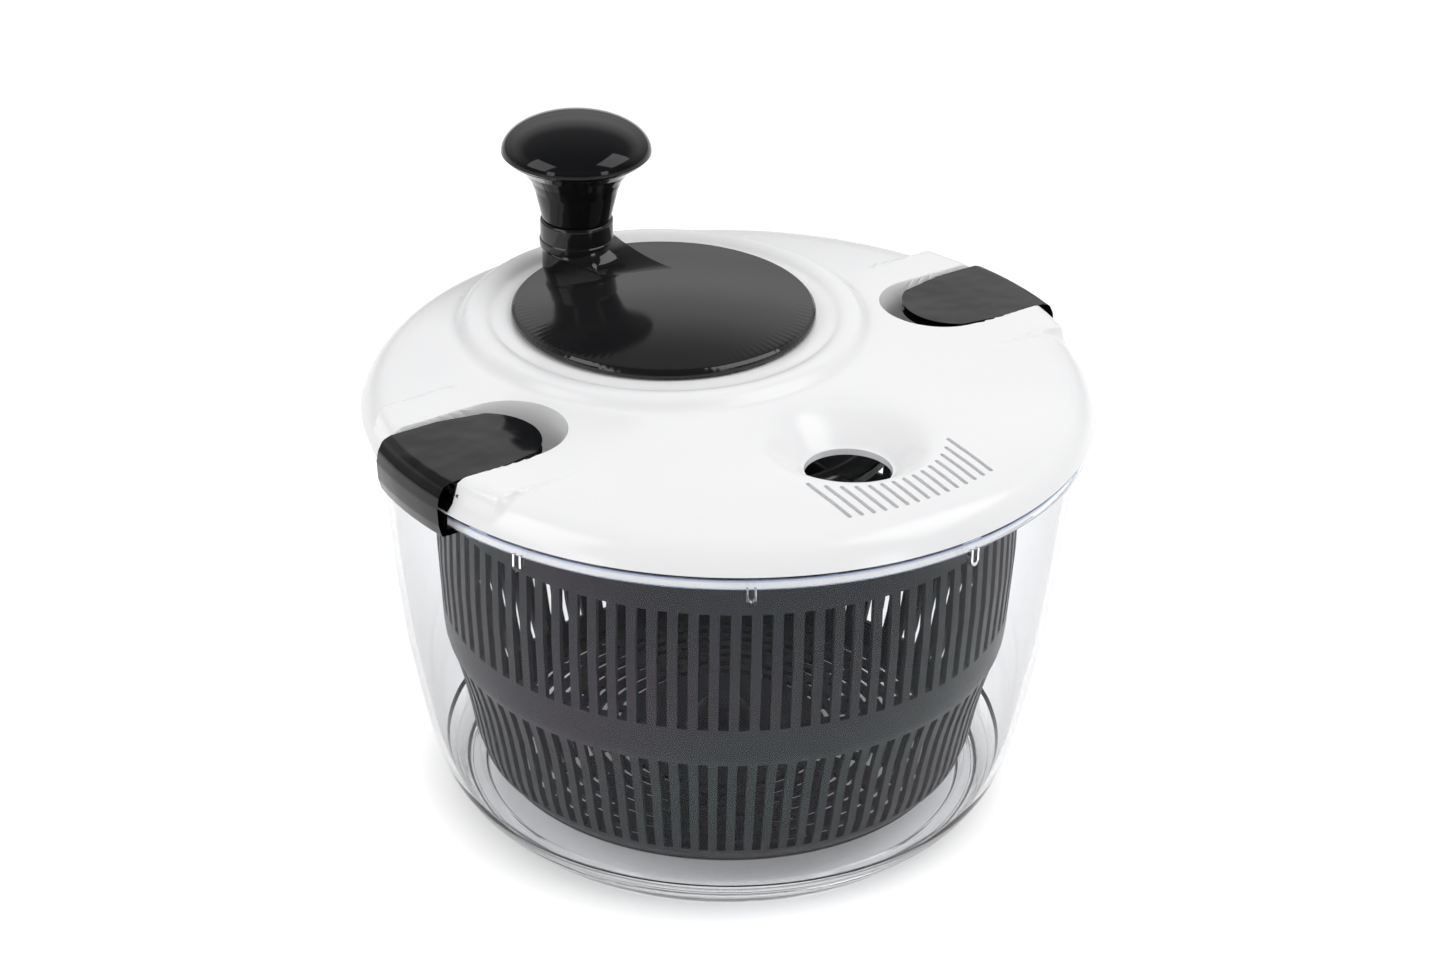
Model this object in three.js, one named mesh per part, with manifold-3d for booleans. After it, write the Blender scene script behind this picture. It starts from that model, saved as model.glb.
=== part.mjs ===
// Crank-driven salad spinner: clear bowl, slotted basket and a lid that carries the crank,
// the gear drive and two press latches. Millimetres, +Z up. The origin is on the bowl's axis
// at the surface it stands on. The latches lie on the X axis, the water spout towards -Y.
import * as THREE from 'three';
import { mergeVertices } from 'three/addons/utils/BufferGeometryUtils.js';
import Module from 'manifold-3d';

const wasm = await Module();
wasm.setup();

// ---- driving dimensions -------------------------------------------------------------------
const GAP = 0.3;                 // play between pieces that touch
const ROUND = 36;                // sides of a large turned piece
const SMALL_ROUND = 16;          // sides of a pin, screw or shaft

const BOWL_WALL = 2.3;
const FLANGE_RADIUS = 122;
const FLANGE_TOP = 144.2;
const FLANGE_BOTTOM = 139.7;
const FOOT_RADIUS = 87;
const TAB_COUNT = 10;
const TAB_FIRST_ANGLE = -85.6;   // degrees
const PIVOT_TOP = 13;

const BASKET_WALL = 2;
const BASKET_FLOOR = 14;
const BASKET_TOP = 132.8;
const BASKET_RIM_RADIUS = 102;
const SLOT_COUNT = 24;           // slots in each of the two bands, one on each flat of the wall
const SLOT_WIDTH = 4;
const DOG_COUNT = 12;            // drive dogs, and the rim notches that they sit in

const LID_RADIUS = 122.7;
const LID_WALL = 2.4;
const LID_EDGE = FLANGE_TOP + GAP;
const SKIRT_RADIUS = 114.6;
const SKIRT_BOTTOM = 137.2;
const DOME_TOP = 157.6;
const PLATFORM_RADIUS = 66;
const PLATFORM_TOP = 161;
const RECESS_FLOOR = 159.3;
const SHOULDER_HALF_WIDTH = 37.5;
const POCKET_HALF_WIDTH = 19.8;
const POCKET_CENTRE = 87.5;      // of the pocket's round inner end, along X
const POCKET_FLOOR = 139.8;

const SPOUT_Y = -67;
const SPOUT_MOUTH_RADIUS = 27;
const SPOUT_HOLE_RADIUS = 14.3;
const SPOUT_HOLE_Z = 146.3;
const VENT_COUNT = 15;
const VENT_PITCH = 3.97;
const VENT_WIDTH = 1.5;

const GEAR_MODULE = 1.6;
const CRANK_TEETH = 37;
const PINION_TEETH = 12;
const GEAR_BACKLASH = 0.35;
const GEAR_BOTTOM = 148;
const GEAR_TOP = 154.4;
const CRANK_Y = GEAR_MODULE * (CRANK_TEETH + PINION_TEETH) / 2;
const COVER_BOTTOM = 143;
const COVER_FLOOR = 145;
const COVER_TOP = 153.6;

const CRANK_REST_ANGLE = 9.5;    // degrees that the knob stands past +Y when stored
const DISC_RADIUS = 52;
const DISC_BOTTOM = 159.9;
const DISC_TOP = 163.2;
const KNOB_OFFSET = 44;          // knob axis from the crank's axis
const BOSS_RADIUS = 12.9;
const BOSS_TOP = 180.9;
const BOSS_STEP = 173.5;
const KNOB_BOTTOM = BOSS_TOP + GAP;
const KNOB_RADIUS = 25.8;
const KNOB_WIDEST = 205.5;
const KNOB_TOP = 217.2;

const SPOKE_COUNT = 6;
const SPOKE_TURN = 6;
const DRIVER_BOTTOM = 131.2;
const DRIVER_TOP = 136.8;

const LATCH_HALF_WIDTH = 18.9;
const LATCH_TOP = 155.2;
const LATCH_END = 96;            // centre of the latch's round inner end, along X
const LATCH_PIN_X = 117;
const LATCH_PIN_Z = 150.5;
const LATCH_HOOK_BOTTOM = 136.6;
const LATCH_HOOK_TOP = 138.6;

// ---- materials ----------------------------------------------------------------------------
const finish = (color, roughness, metalness = 0) =>
  new THREE.MeshStandardMaterial({ color, roughness, metalness });

const clearPlastic = finish(0xdfe3ea, 0.05);
clearPlastic.transparent = true;
clearPlastic.opacity = 0.3;
const greyPlastic = finish(0x45474b, 0.45);
const whitePlastic = finish(0xf4f4f5, 0.2);
const blackGloss = finish(0x0b0b0c, 0.08);
const blackPlastic = finish(0x141415, 0.35);
const whiteGearPlastic = finish(0xe6e4dc, 0.5);
const steel = finish(0xb9bcc0, 0.25, 1);

// ---- solids -------------------------------------------------------------------------------
const radians = THREE.MathUtils.degToRad;
const point = (x, y) => new THREE.Vector2(x, y);

// A closed geometry as a manifold solid, with its shared vertices merged.
function solid(geometry) {
  const bare = geometry.index ? geometry.clone() : geometry;
  bare.deleteAttribute('normal');
  bare.deleteAttribute('uv');
  const merged = mergeVertices(bare, 1e-4);
  const index = merged.index.array;
  const triangles = [];
  for (let i = 0; i < index.length; i += 3) {
    const [a, b, c] = [index[i], index[i + 1], index[i + 2]];
    if (a !== b && b !== c && c !== a) triangles.push(a, b, c);
  }
  return new wasm.Manifold(new wasm.Mesh({
    numProp: 3,
    vertProperties: Float32Array.from(merged.attributes.position.array),
    triVerts: Uint32Array.from(triangles),
  })).asOriginal();
}

function geometryOf(body) {
  const mesh = body.simplify(0.02).getMesh();
  const geometry = new THREE.BufferGeometry();
  geometry.setAttribute('position', new THREE.BufferAttribute(mesh.vertProperties, 3));
  geometry.setIndex(new THREE.BufferAttribute(mesh.triVerts, 1));
  geometry.computeVertexNormals();
  return geometry;
}

// Turned solid about a vertical axis. The profile is [radius, z] pairs, counter-clockwise;
// it starts and ends on the axis, or it is closed into a ring.
function turned(profile, { x = 0, y = 0, sides = ROUND, start = 0 } = {}) {
  const points = profile.map(([radius, z]) => point(radius, z));
  if (profile[0][0] > 0) points.push(points[0].clone());
  const geometry = new THREE.LatheGeometry(points, sides, start);
  geometry.rotateX(Math.PI / 2);
  geometry.translate(x, y, 0);
  return solid(geometry);
}

function cylinder(radius, bottom, top, { x = 0, y = 0, sides = SMALL_ROUND } = {}) {
  return turned([[0, bottom], [radius, bottom], [radius, top], [0, top]], { x, y, sides });
}

function tube(inner, outer, bottom, top, { x = 0, y = 0, sides = SMALL_ROUND } = {}) {
  return turned([[inner, bottom], [outer, bottom], [outer, top], [inner, top]], { x, y, sides });
}

function cylinderAlongY(radius, x, z, low, high, sides = SMALL_ROUND) {
  const geometry = new THREE.CylinderGeometry(radius, radius, high - low, sides);
  geometry.translate(x, (low + high) / 2, z);
  return solid(geometry);
}

function block([x0, x1], [y0, y1], [z0, z1]) {
  const geometry = new THREE.BoxGeometry(x1 - x0, y1 - y0, z1 - z0);
  geometry.translate((x0 + x1) / 2, (y0 + y1) / 2, (z0 + z1) / 2);
  return solid(geometry);
}

// Outline in the XY plane, raised from one height to another.
function prism(shape, bottom, top, curveSegments = 10) {
  const options = { depth: top - bottom, bevelEnabled: false, curveSegments };
  const geometry = new THREE.ExtrudeGeometry(shape, options);
  geometry.translate(0, 0, bottom);
  return solid(geometry);
}

// Outline in the XZ plane, given as [x, z] pairs, carried along Y.
function prismAlongY(outline, low, high) {
  const shape = new THREE.Shape(outline.map(([x, z]) => point(x, z)));
  const geometry = new THREE.ExtrudeGeometry(shape, { depth: high - low, bevelEnabled: false });
  geometry.rotateX(Math.PI / 2);
  geometry.translate(0, high, 0);
  return solid(geometry);
}

const join = (first, ...others) => others.reduce((body, other) => body.add(other), first);
const cut = (first, ...tools) => tools.reduce((body, tool) => body.subtract(tool), first);
const turn = (body, degrees) => body.rotate([0, 0, degrees]);
const mirrored = (body) => body.mirror([1, 0, 0]);

function aroundAxis(count, body, firstAngle = 0) {
  const copies = [];
  for (let i = 0; i < count; i += 1) copies.push(turn(body, firstAngle + 360 * i / count));
  return copies;
}

// Points of a quadratic curve, ends included.
function curvePoints(start, control, end, divisions) {
  const curve = new THREE.QuadraticBezierCurve(point(...start), point(...control), point(...end));
  return curve.getPoints(divisions).map((p) => [p.x, p.y]);
}

// ---- the object ---------------------------------------------------------------------------
const spinner = new THREE.Group();
spinner.name = 'salad_spinner';

function part(name, body, material, parent = spinner) {
  const geometry = body instanceof THREE.BufferGeometry ? body : geometryOf(body);
  const mesh = new THREE.Mesh(geometry, material);
  mesh.name = name;
  parent.add(mesh);
  return mesh;
}

// ---- bowl ---------------------------------------------------------------------------------
// Outer wall from the foot to the flange; the inner wall follows it one wall thickness inside.
const bowlWall = [
  [90.1, 3], [97.4, 11.5], [103.1, 28], [113.2, 89], [117.9, 138],
];

function bowl() {
  const inside = bowlWall.slice(1).map(([radius, z]) => [radius - BOWL_WALL, z + 0.8]).reverse();
  const body = turned([
    [0, 2.6], [FOOT_RADIUS - 4, 2.6], [FOOT_RADIUS - 3, 0], [FOOT_RADIUS, 0], ...bowlWall,
    [118.2, FLANGE_TOP - 1.6], [120.3, FLANGE_TOP - 1.6], [120.3, FLANGE_BOTTOM],
    [FLANGE_RADIUS, FLANGE_BOTTOM], [FLANGE_RADIUS, FLANGE_TOP], [115.8, FLANGE_TOP],
    ...inside, [84, 5.2], [0, 5.2],
  ]);
  const pivot = turned([[0, 4], [9, 4], [4.7, PIVOT_TOP - 2], [3, PIVOT_TOP], [0, PIVOT_TOP]],
    { sides: 12 });
  const tab = block([FLANGE_RADIUS - 1.8, FLANGE_RADIUS - 0.2], [-1.6, 1.6], [FLANGE_BOTTOM - 6, 141]);
  return join(body, pivot, ...aroundAxis(TAB_COUNT, tab, TAB_FIRST_ANGLE));
}

part('bowl', bowl(), clearPlastic);

// ---- basket -------------------------------------------------------------------------------
const basketWall = [
  [79, 12], [84.6, 18.5], [93.4, 56.5], [97.4, 73], [99.3, 118.5],
];

function slotBand(bottom, top) {
  const slot = block([60, 120], [-SLOT_WIDTH / 2, SLOT_WIDTH / 2], [bottom, top]);
  return aroundAxis(SLOT_COUNT, slot);
}

function basket() {
  const inside = basketWall.slice(1).map(([radius, z]) => [radius - BASKET_WALL, z]).reverse();
  const shell = turned([
    [0, BASKET_FLOOR - 2], ...basketWall, [BASKET_RIM_RADIUS, 130.5], [BASKET_RIM_RADIUS, BASKET_TOP],
    [BASKET_RIM_RADIUS - 4.6, BASKET_TOP], ...inside, [78.5, BASKET_FLOOR], [0, BASKET_FLOOR],
  ], { sides: SLOT_COUNT, start: Math.PI / SLOT_COUNT });
  const hub = turned([[0, 10.5], [11, 10.5], [13, 14], [9, 22], [6, 25], [0, 25]], { sides: 12 });
  const socket = turned([[0, 9], [9.8, 9], [5.6, PIVOT_TOP - 1], [3.9, PIVOT_TOP + GAP],
    [0, PIVOT_TOP + GAP]], { sides: 12 });
  const notch = block([BASKET_RIM_RADIUS - 8, BASKET_RIM_RADIUS + 1], [-3.8, 3.8],
    [BASKET_TOP - 4.2, BASKET_TOP + 1]);
  const floorSlot = (radius) => {
    const shape = new THREE.Shape();
    shape.absarc(0, 0, radius + 1.6, radians(5), radians(55), false);
    shape.absarc(0, 0, radius - 1.6, radians(55), radians(5), true);
    return aroundAxis(6, prism(shape, 10, 16, 3));
  };
  return cut(
    join(shell, hub), socket, ...slotBand(19.5, 56), ...slotBand(73.7, 117.4),
    ...aroundAxis(DOG_COUNT, notch), ...floorSlot(42), ...floorSlot(62),
  );
}

part('basket', basket(), greyPlastic);

// ---- lid shell ----------------------------------------------------------------------------
// Solid under a surface of the lid: the dome, the raised crank platform and the flat shoulders
// beside the latches. `drop` lowers the whole surface, which gives the inside of the shell.
function lidVolume(drop) {
  const foot = LID_EDGE - (drop ? 2 : 0);
  const dome = turned([
    [0, foot], [LID_RADIUS - drop, foot],
    ...curvePoints([LID_RADIUS - drop, LID_EDGE], [119.5 - 0.9 * drop, 154.5 - drop],
      [106 - 0.2 * drop, 155.5 - drop], drop ? 3 : 5),
    [84, 156.7 - drop], [0, DOME_TOP - drop],
  ]);
  const shoulderRing = turned([
    [84, foot], [LID_RADIUS - 0.6 - drop, foot], [LID_RADIUS - 0.6 - drop, LID_EDGE + 0.2],
    [121 - drop, 152.5 - drop / 2], [119.6 - drop, 155.2 - drop], [117 - drop, 156.2 - drop],
    [90, 156.2 - drop], [84, 155 - drop],
  ]);
  const halfWidth = SHOULDER_HALF_WIDTH - drop * 0.8;
  const shoulders = shoulderRing.intersect(block([-130, 130], [-halfWidth, halfWidth], [100, 200]));
  const at = { y: CRANK_Y };
  const platform = turned([
    [0, 150 - drop], [72.5 - drop, 150 - drop], [70 - drop, 156.5 - drop / 2],
    [68.3 - drop, 159.6 - drop], [PLATFORM_RADIUS - drop / 2, PLATFORM_TOP - drop],
    [62.5 - drop / 2, PLATFORM_TOP - 0.2 - drop], [60, RECESS_FLOOR + 0.3 - drop],
    [59, RECESS_FLOOR - drop], [0, RECESS_FLOOR - drop],
  ], at);
  return join(dome, shoulders, platform);
}

// Outline of a latch pocket at the +X side, up to the outer edge of the lid.
function pocketOutline(margin, reach) {
  const shape = new THREE.Shape();
  const halfWidth = POCKET_HALF_WIDTH + margin;
  shape.moveTo(reach, -halfWidth);
  shape.lineTo(reach, halfWidth);
  shape.lineTo(POCKET_CENTRE, halfWidth);
  shape.absarc(POCKET_CENTRE, 0, halfWidth, Math.PI / 2, 1.5 * Math.PI, false);
  return shape;
}

function pocketVoid() {
  const scoop = prism(pocketOutline(0, SKIRT_RADIUS - 2.3), POCKET_FLOOR, 170);
  const passage = block([SKIRT_RADIUS - 3, 130], [-POCKET_HALF_WIDTH, POCKET_HALF_WIDTH],
    [LID_EDGE + 0.6, 170]);
  const notch = cut(
    block([SKIRT_RADIUS - 3, 130], [-POCKET_HALF_WIDTH, POCKET_HALF_WIDTH], [130, 170]),
    cylinder(SKIRT_RADIUS + 0.5, 120, 180, { sides: ROUND }),
  );
  return join(scoop, passage, notch);
}

// Fifteen vents beside the spout. Their inner ends lie on an arc about the spout, their outer
// ends on an arc about the bowl's axis.
function vents() {
  const slots = [];
  for (let i = 0; i < VENT_COUNT; i += 1) {
    const x = (i - (VENT_COUNT - 1) / 2) * VENT_PITCH;
    const inner = -58.8 - Math.sqrt(36.2 ** 2 - x ** 2);
    const outer = -Math.sqrt(109 ** 2 - x ** 2);
    slots.push(block([x - VENT_WIDTH / 2, x + VENT_WIDTH / 2], [outer, inner], [148, 162]));
  }
  return slots;
}

const COVER_SCREWS = [[-40, 50], [40, 50], [-25, -2], [25, -2]];

function lidShell() {
  const outer = lidVolume(0);
  const shell = cut(outer, lidVolume(LID_WALL));
  const skirt = tube(SKIRT_RADIUS - 2.2, SKIRT_RADIUS, SKIRT_BOTTOM, 150, { sides: ROUND });
  const pocketWall = prism(pocketOutline(1.8, SKIRT_RADIUS), POCKET_FLOOR - 1.6, 170);
  const passageWall = block([SKIRT_RADIUS - 2, 130], [-POCKET_HALF_WIDTH - 1.8, POCKET_HALF_WIDTH + 1.8],
    [LID_EDGE, 170]);
  const pockets = join(pocketWall, passageWall);
  const spoutWall = turned([
    [0, SPOUT_HOLE_Z - 2], [SPOUT_HOLE_RADIUS + 1.6, SPOUT_HOLE_Z - 2], [SPOUT_HOLE_RADIUS + 2.2, SPOUT_HOLE_Z],
    [SPOUT_MOUTH_RADIUS, 155.5], [SPOUT_MOUTH_RADIUS + 3, 170], [0, 170],
  ], { y: SPOUT_Y, sides: 24 });
  const spoutVoid = turned([
    [0, 140], [SPOUT_HOLE_RADIUS - 0.4, 140], [SPOUT_HOLE_RADIUS, SPOUT_HOLE_Z],
    [19.5, 150.5], [23.6, 154.6], [SPOUT_MOUTH_RADIUS + 1, 157], [SPOUT_MOUTH_RADIUS + 6, 158.6],
    [SPOUT_MOUTH_RADIUS + 6, 175], [0, 175],
  ], { y: SPOUT_Y, sides: 24 });
  const lugs = COVER_SCREWS.map(([x, y]) => cylinder(4, COVER_FLOOR + 2.6, 160, { x, y }));
  const crankBoss = cylinder(12, 156.2, 158, { y: CRANK_Y });
  const pinionBoss = cylinder(7, 155.2, 158);
  const lined = join(pockets, mirrored(pockets), spoutWall, ...lugs, crankBoss, pinionBoss)
    .intersect(outer.add(cylinder(SKIRT_RADIUS - 1, 100, 150, { sides: ROUND })));
  const screwHoles = COVER_SCREWS.map(([x, y]) => cylinder(1.6, 140, 155.2, { x, y, sides: 8 }));
  const pinHole = cylinderAlongY(1.85, LATCH_PIN_X, LATCH_PIN_Z, -23, 23, 12);
  return cut(
    join(shell, skirt, lined),
    pocketVoid(), mirrored(pocketVoid()), spoutVoid, ...vents(), ...screwHoles,
    cylinder(8.6, 150, 165, { y: CRANK_Y }), cylinder(3.4, 150, 157.9),
    pinHole, mirrored(pinHole),
  );
}

part('lid_shell', lidShell(), whitePlastic);

// ---- gear housing -------------------------------------------------------------------------
// Outline round both gears: two circles joined by their common tangents.
function housingOutline(margin) {
  const large = 34 + margin;
  const small = 15 + margin;
  const lean = Math.asin((large - small) / CRANK_Y);
  const shape = new THREE.Shape();
  shape.absarc(0, 0, small, Math.PI + lean, 2 * Math.PI - lean, false);
  shape.absarc(0, CRANK_Y, large, -lean, Math.PI + lean, false);
  return shape;
}

function gearCover() {
  const ears = COVER_SCREWS.map(([x, y]) => cylinder(4.6, COVER_FLOOR, COVER_FLOOR + 2.3, { x, y }));
  const bridges = COVER_SCREWS.map(([x, y]) => {
    const inward = Math.sign(x) * 8;
    return block([Math.min(x, x - inward), Math.max(x, x - inward)], [y - 4, y + 4],
      [COVER_FLOOR, COVER_FLOOR + 2.3]);
  });
  const tub = join(prism(housingOutline(0), COVER_BOTTOM, COVER_TOP), ...ears, ...bridges);
  const holes = COVER_SCREWS.map(([x, y]) => cylinder(1.7, 140, 150, { x, y, sides: 8 }));
  return cut(tub, prism(housingOutline(-2), COVER_FLOOR, COVER_TOP + 1), cylinder(5.9, 140, 150), ...holes);
}

part('gear_cover', gearCover(), whitePlastic);

function screw(headRadius, headBottom, headTop, shankRadius, shankTop, at = {}) {
  return join(
    turned([[0, headBottom], [headRadius * 0.7, headBottom], [headRadius, headBottom + 0.8],
      [headRadius, headTop], [0, headTop]], { ...at, sides: 12 }),
    cylinder(shankRadius, headTop - 0.2, shankTop, { ...at, sides: 8 }),
  );
}

COVER_SCREWS.forEach(([x, y], i) => {
  const body = screw(3, COVER_FLOOR - 2.2, COVER_FLOOR - GAP, 1.3, 153, { x, y });
  part(`cover_screw_${i + 1}`, body, steel);
});

// ---- gears --------------------------------------------------------------------------------
// Involute spur gear outline with a 25 degree pressure angle and short teeth. `phase` is the
// direction of one tooth's centre line, in degrees.
function gearOutline(teeth, phase) {
  const pressure = radians(25);
  const pitch = GEAR_MODULE * teeth / 2;
  const base = pitch * Math.cos(pressure);
  const tip = pitch + 0.8 * GEAR_MODULE;
  const root = pitch - 1.1 * GEAR_MODULE;
  const involute = (angle) => Math.tan(angle) - angle;
  const halfAngle = (radius) => {
    const spread = involute(Math.acos(base / Math.max(radius, base)));
    return Math.PI / (2 * teeth) - GEAR_BACKLASH / (4 * pitch) + involute(pressure) - spread;
  };
  const shape = new THREE.Shape();
  const vertices = [];
  for (let i = 0; i < teeth; i += 1) {
    const centre = radians(phase) + 2 * Math.PI * i / teeth;
    for (const radius of [root, pitch, tip]) {
      vertices.push([radius, centre - halfAngle(radius)]);
    }
    for (const radius of [tip, pitch, root]) {
      vertices.push([radius, centre + halfAngle(radius)]);
    }
  }
  shape.setFromPoints(vertices.map(([r, a]) => point(r * Math.cos(a), r * Math.sin(a))));
  return shape;
}

function crankGear() {
  const gear = prism(gearOutline(CRANK_TEETH, -90 - CRANK_REST_ANGLE), GEAR_BOTTOM, GEAR_TOP);
  const bore = block([-5.3, 5.3], [-5.3, 5.3], [140, 160]);
  return cut(gear, bore);
}

function driveGear() {
  const gear = prism(gearOutline(PINION_TEETH, 90 + 180 / PINION_TEETH), GEAR_BOTTOM, GEAR_TOP);
  const shaft = join(
    cylinder(5.5, DRIVER_BOTTOM + 1, GEAR_BOTTOM + 0.1),
    cylinder(3, GEAR_TOP - 0.1, 157.5),
  );
  return cut(join(gear, shaft), cylinder(1.9, 120, 146, { sides: 12 }));
}

part('drive_gear', driveGear(), whiteGearPlastic);

// ---- basket driver ------------------------------------------------------------------------
function driver() {
  const hub = turned([[0, DRIVER_BOTTOM - 1], [12, DRIVER_BOTTOM - 1], [13, DRIVER_TOP],
    [9.5, 141.6], [0, 141.6]], { sides: 20 });
  const ring = turned([[89, DRIVER_BOTTOM + 2.2], [101, DRIVER_BOTTOM + 2.2],
    [101, DRIVER_BOTTOM + 4.2], [92.5, DRIVER_TOP], [89, DRIVER_TOP]]);
  const spoke = prismAlongY([[-4.5, DRIVER_BOTTOM], [4.5, DRIVER_BOTTOM], [4.5, DRIVER_TOP - 1.8],
    [2.4, DRIVER_TOP], [-2.4, DRIVER_TOP], [-4.5, DRIVER_TOP - 1.8]], 8, 90.5);
  const dog = block([96.6, 100.4], [-2.9, 2.9], [BASKET_TOP - 3.6, BASKET_TOP + 1.5]);
  const bore = cylinder(5.8, 120, 150);
  const plate = tube(12, 50, DRIVER_BOTTOM + 0.6, DRIVER_BOTTOM + 2.8);
  const ridge = turned([[48, DRIVER_BOTTOM + 0.2], [57, DRIVER_BOTTOM + 0.2], [57, DRIVER_TOP - 2.4],
    [54.8, DRIVER_TOP + 0.6], [52.5, DRIVER_TOP + 1.5], [50.2, DRIVER_TOP + 0.6], [48, DRIVER_TOP - 2.4]]);
  const seat = tube(7.4, 11, DRIVER_BOTTOM - 2, DRIVER_BOTTOM + 6);
  const spokes = aroundAxis(SPOKE_COUNT, spoke, SPOKE_TURN);
  return cut(join(hub, plate, ridge, ring, ...spokes, ...aroundAxis(DOG_COUNT, dog)), bore, seat);
}

part('basket_driver', driver(), blackPlastic);
part('driver_washer', tube(1.9, 6.6, DRIVER_BOTTOM - 2.2, DRIVER_BOTTOM - 1.3), steel);
part('driver_screw', screw(4, DRIVER_BOTTOM - 4.6, DRIVER_BOTTOM - 2.5, 1.5, 144), steel);

// ---- crank --------------------------------------------------------------------------------
// Everything here is made with the knob towards +Y and turned about the crank's axis.
const DOME_RISE = 4.2;
const DOME_RADIUS = 50;
const FOOT_RIGHT = [17.0, 9.9];
const FOOT_LEFT = [-6.5, 23.5];
const FOOT_TURN = -107.6;
const FOOT_LINE_SHARE = 0.5;
const LIP_TOP = BOSS_STEP - 2.9;

const crankGroup = new THREE.Group();
crankGroup.position.y = CRANK_Y;
crankGroup.rotation.z = radians(CRANK_REST_ANGLE);
spinner.add(crankGroup);

// Height of the disc's domed top at a distance from its centre.
function discHeight(radius) {
  return DISC_TOP + DOME_RISE * (1 - (radius / DOME_RADIUS) ** 2);
}

function crank() {
  const disc = turned([
    [0, DISC_BOTTOM], [DISC_RADIUS - 0.6, DISC_BOTTOM], [DISC_RADIUS, DISC_BOTTOM + 0.8],
    [DISC_RADIUS - 0.4, DISC_TOP - 1.3], [DISC_RADIUS - 1.5, DISC_TOP - 0.2],
    ...[49.5, 40, 30, 20, 10, 0].map((radius) => [radius, discHeight(radius)]),
  ]);
  const hollow = tube(9, 40, DISC_BOTTOM - 1, DISC_TOP - 0.8);
  const boss = turned([[0, DISC_BOTTOM], [BOSS_RADIUS - 0.9, DISC_BOTTOM],
    [BOSS_RADIUS - 0.9, BOSS_STEP - 3.4], [BOSS_RADIUS, BOSS_STEP - 2.6], [BOSS_RADIUS, BOSS_STEP],
    [BOSS_RADIUS - 0.4, BOSS_STEP + 0.4], [BOSS_RADIUS - 0.4, BOSS_TOP], [0, BOSS_TOP]],
    { y: KNOB_OFFSET, sides: 24 });
  const journal = cylinder(6.4, GEAR_TOP + GAP, DISC_BOTTOM + 0.1);
  const square = block([-5, 5], [-5, 5], [GEAR_BOTTOM + 0.2, GEAR_TOP + GAP + 0.1]);
  const screwHole = cylinder(1.9, 140, 158, { sides: 12 });
  const pinHole = cylinder(3.3, 164, BOSS_TOP + 1, { y: KNOB_OFFSET });
  return cut(join(cut(disc, hollow), boss, fairing(), journal, square), screwHole, pinHole);
}

// Where the fairing ends: a straight line across the disc, then a lip that climbs round the boss.
function fairingFoot(share) {
  if (share <= FOOT_LINE_SHARE) {
    const along = share / FOOT_LINE_SHARE;
    const x = FOOT_RIGHT[0] + (FOOT_LEFT[0] - FOOT_RIGHT[0]) * along;
    const y = FOOT_RIGHT[1] + (FOOT_LEFT[1] - FOOT_RIGHT[1]) * along;
    return [x, y, discHeight(Math.hypot(x, y)) - 0.2];
  }
  const along = (share - FOOT_LINE_SHARE) / (1 - FOOT_LINE_SHARE);
  const angle = radians(FOOT_TURN - (183 + FOOT_TURN) * along);
  const reach = Math.hypot(FOOT_LEFT[0], FOOT_LEFT[1] - KNOB_OFFSET);
  const radius = BOSS_RADIUS + 0.2 + (reach - BOSS_RADIUS - 0.2) * (1 - along) ** 3.5;
  const low = discHeight(Math.hypot(...FOOT_LEFT)) - 0.2;
  return [
    radius * Math.cos(angle), KNOB_OFFSET + radius * Math.sin(angle),
    low + (LIP_TOP - low) * along ** 0.55,
  ];
}

// Fairing from the boss down to the disc, leaning to one side. Its top runs from the step round
// the boss to the foot: nearly straight at the right, hollow elsewhere.
function fairing() {
  const across = 14;
  const along = 5;
  const points = [];
  for (let i = 0; i <= across; i += 1) {
    const share = i / across;
    const angle = radians(-30 - 153 * share);
    const top = BOSS_STEP - 0.1 - 2.4 * Math.max(0, (share - 0.45) / 0.55) ** 1.4;
    const fall = 1.3 + 2.6 * Math.min(1, share / FOOT_LINE_SHARE);
    const [footX, footY, footZ] = fairingFoot(share);
    const startX = (BOSS_RADIUS - 0.6) * Math.cos(angle);
    const startY = KNOB_OFFSET + (BOSS_RADIUS - 0.6) * Math.sin(angle);
    for (let k = 0; k <= along; k += 1) {
      const run = k / along;
      points.push([
        startX + (footX - startX) * run, startY + (footY - startY) * run,
        footZ + (top - footZ) * (1 - run) ** fall,
      ]);
    }
  }
  const under = points.length;
  points.push(...points.map(([x, y]) => [x, y, DISC_TOP - 0.4]));
  const faces = [];
  const quad = (a, b, c, d) => faces.push(a, c, b, a, d, c);
  const at = (i, k) => i * (along + 1) + k;
  for (let i = 0; i < across; i += 1) {
    for (let k = 0; k < along; k += 1) {
      quad(at(i, k), at(i, k + 1), at(i + 1, k + 1), at(i + 1, k));
      quad(under + at(i, k), under + at(i + 1, k), under + at(i + 1, k + 1), under + at(i, k + 1));
    }
    quad(at(i, 0), at(i + 1, 0), under + at(i + 1, 0), under + at(i, 0));
    quad(at(i + 1, along), at(i, along), under + at(i, along), under + at(i + 1, along));
  }
  for (let k = 0; k < along; k += 1) {
    quad(at(0, k + 1), at(0, k), under + at(0, k), under + at(0, k + 1));
    quad(at(across, k), at(across, k + 1), under + at(across, k + 1), under + at(across, k));
  }
  const geometry = new THREE.BufferGeometry();
  geometry.setAttribute('position', new THREE.Float32BufferAttribute(points.flat(), 3));
  geometry.setIndex(faces);
  return solid(geometry);
}

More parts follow.
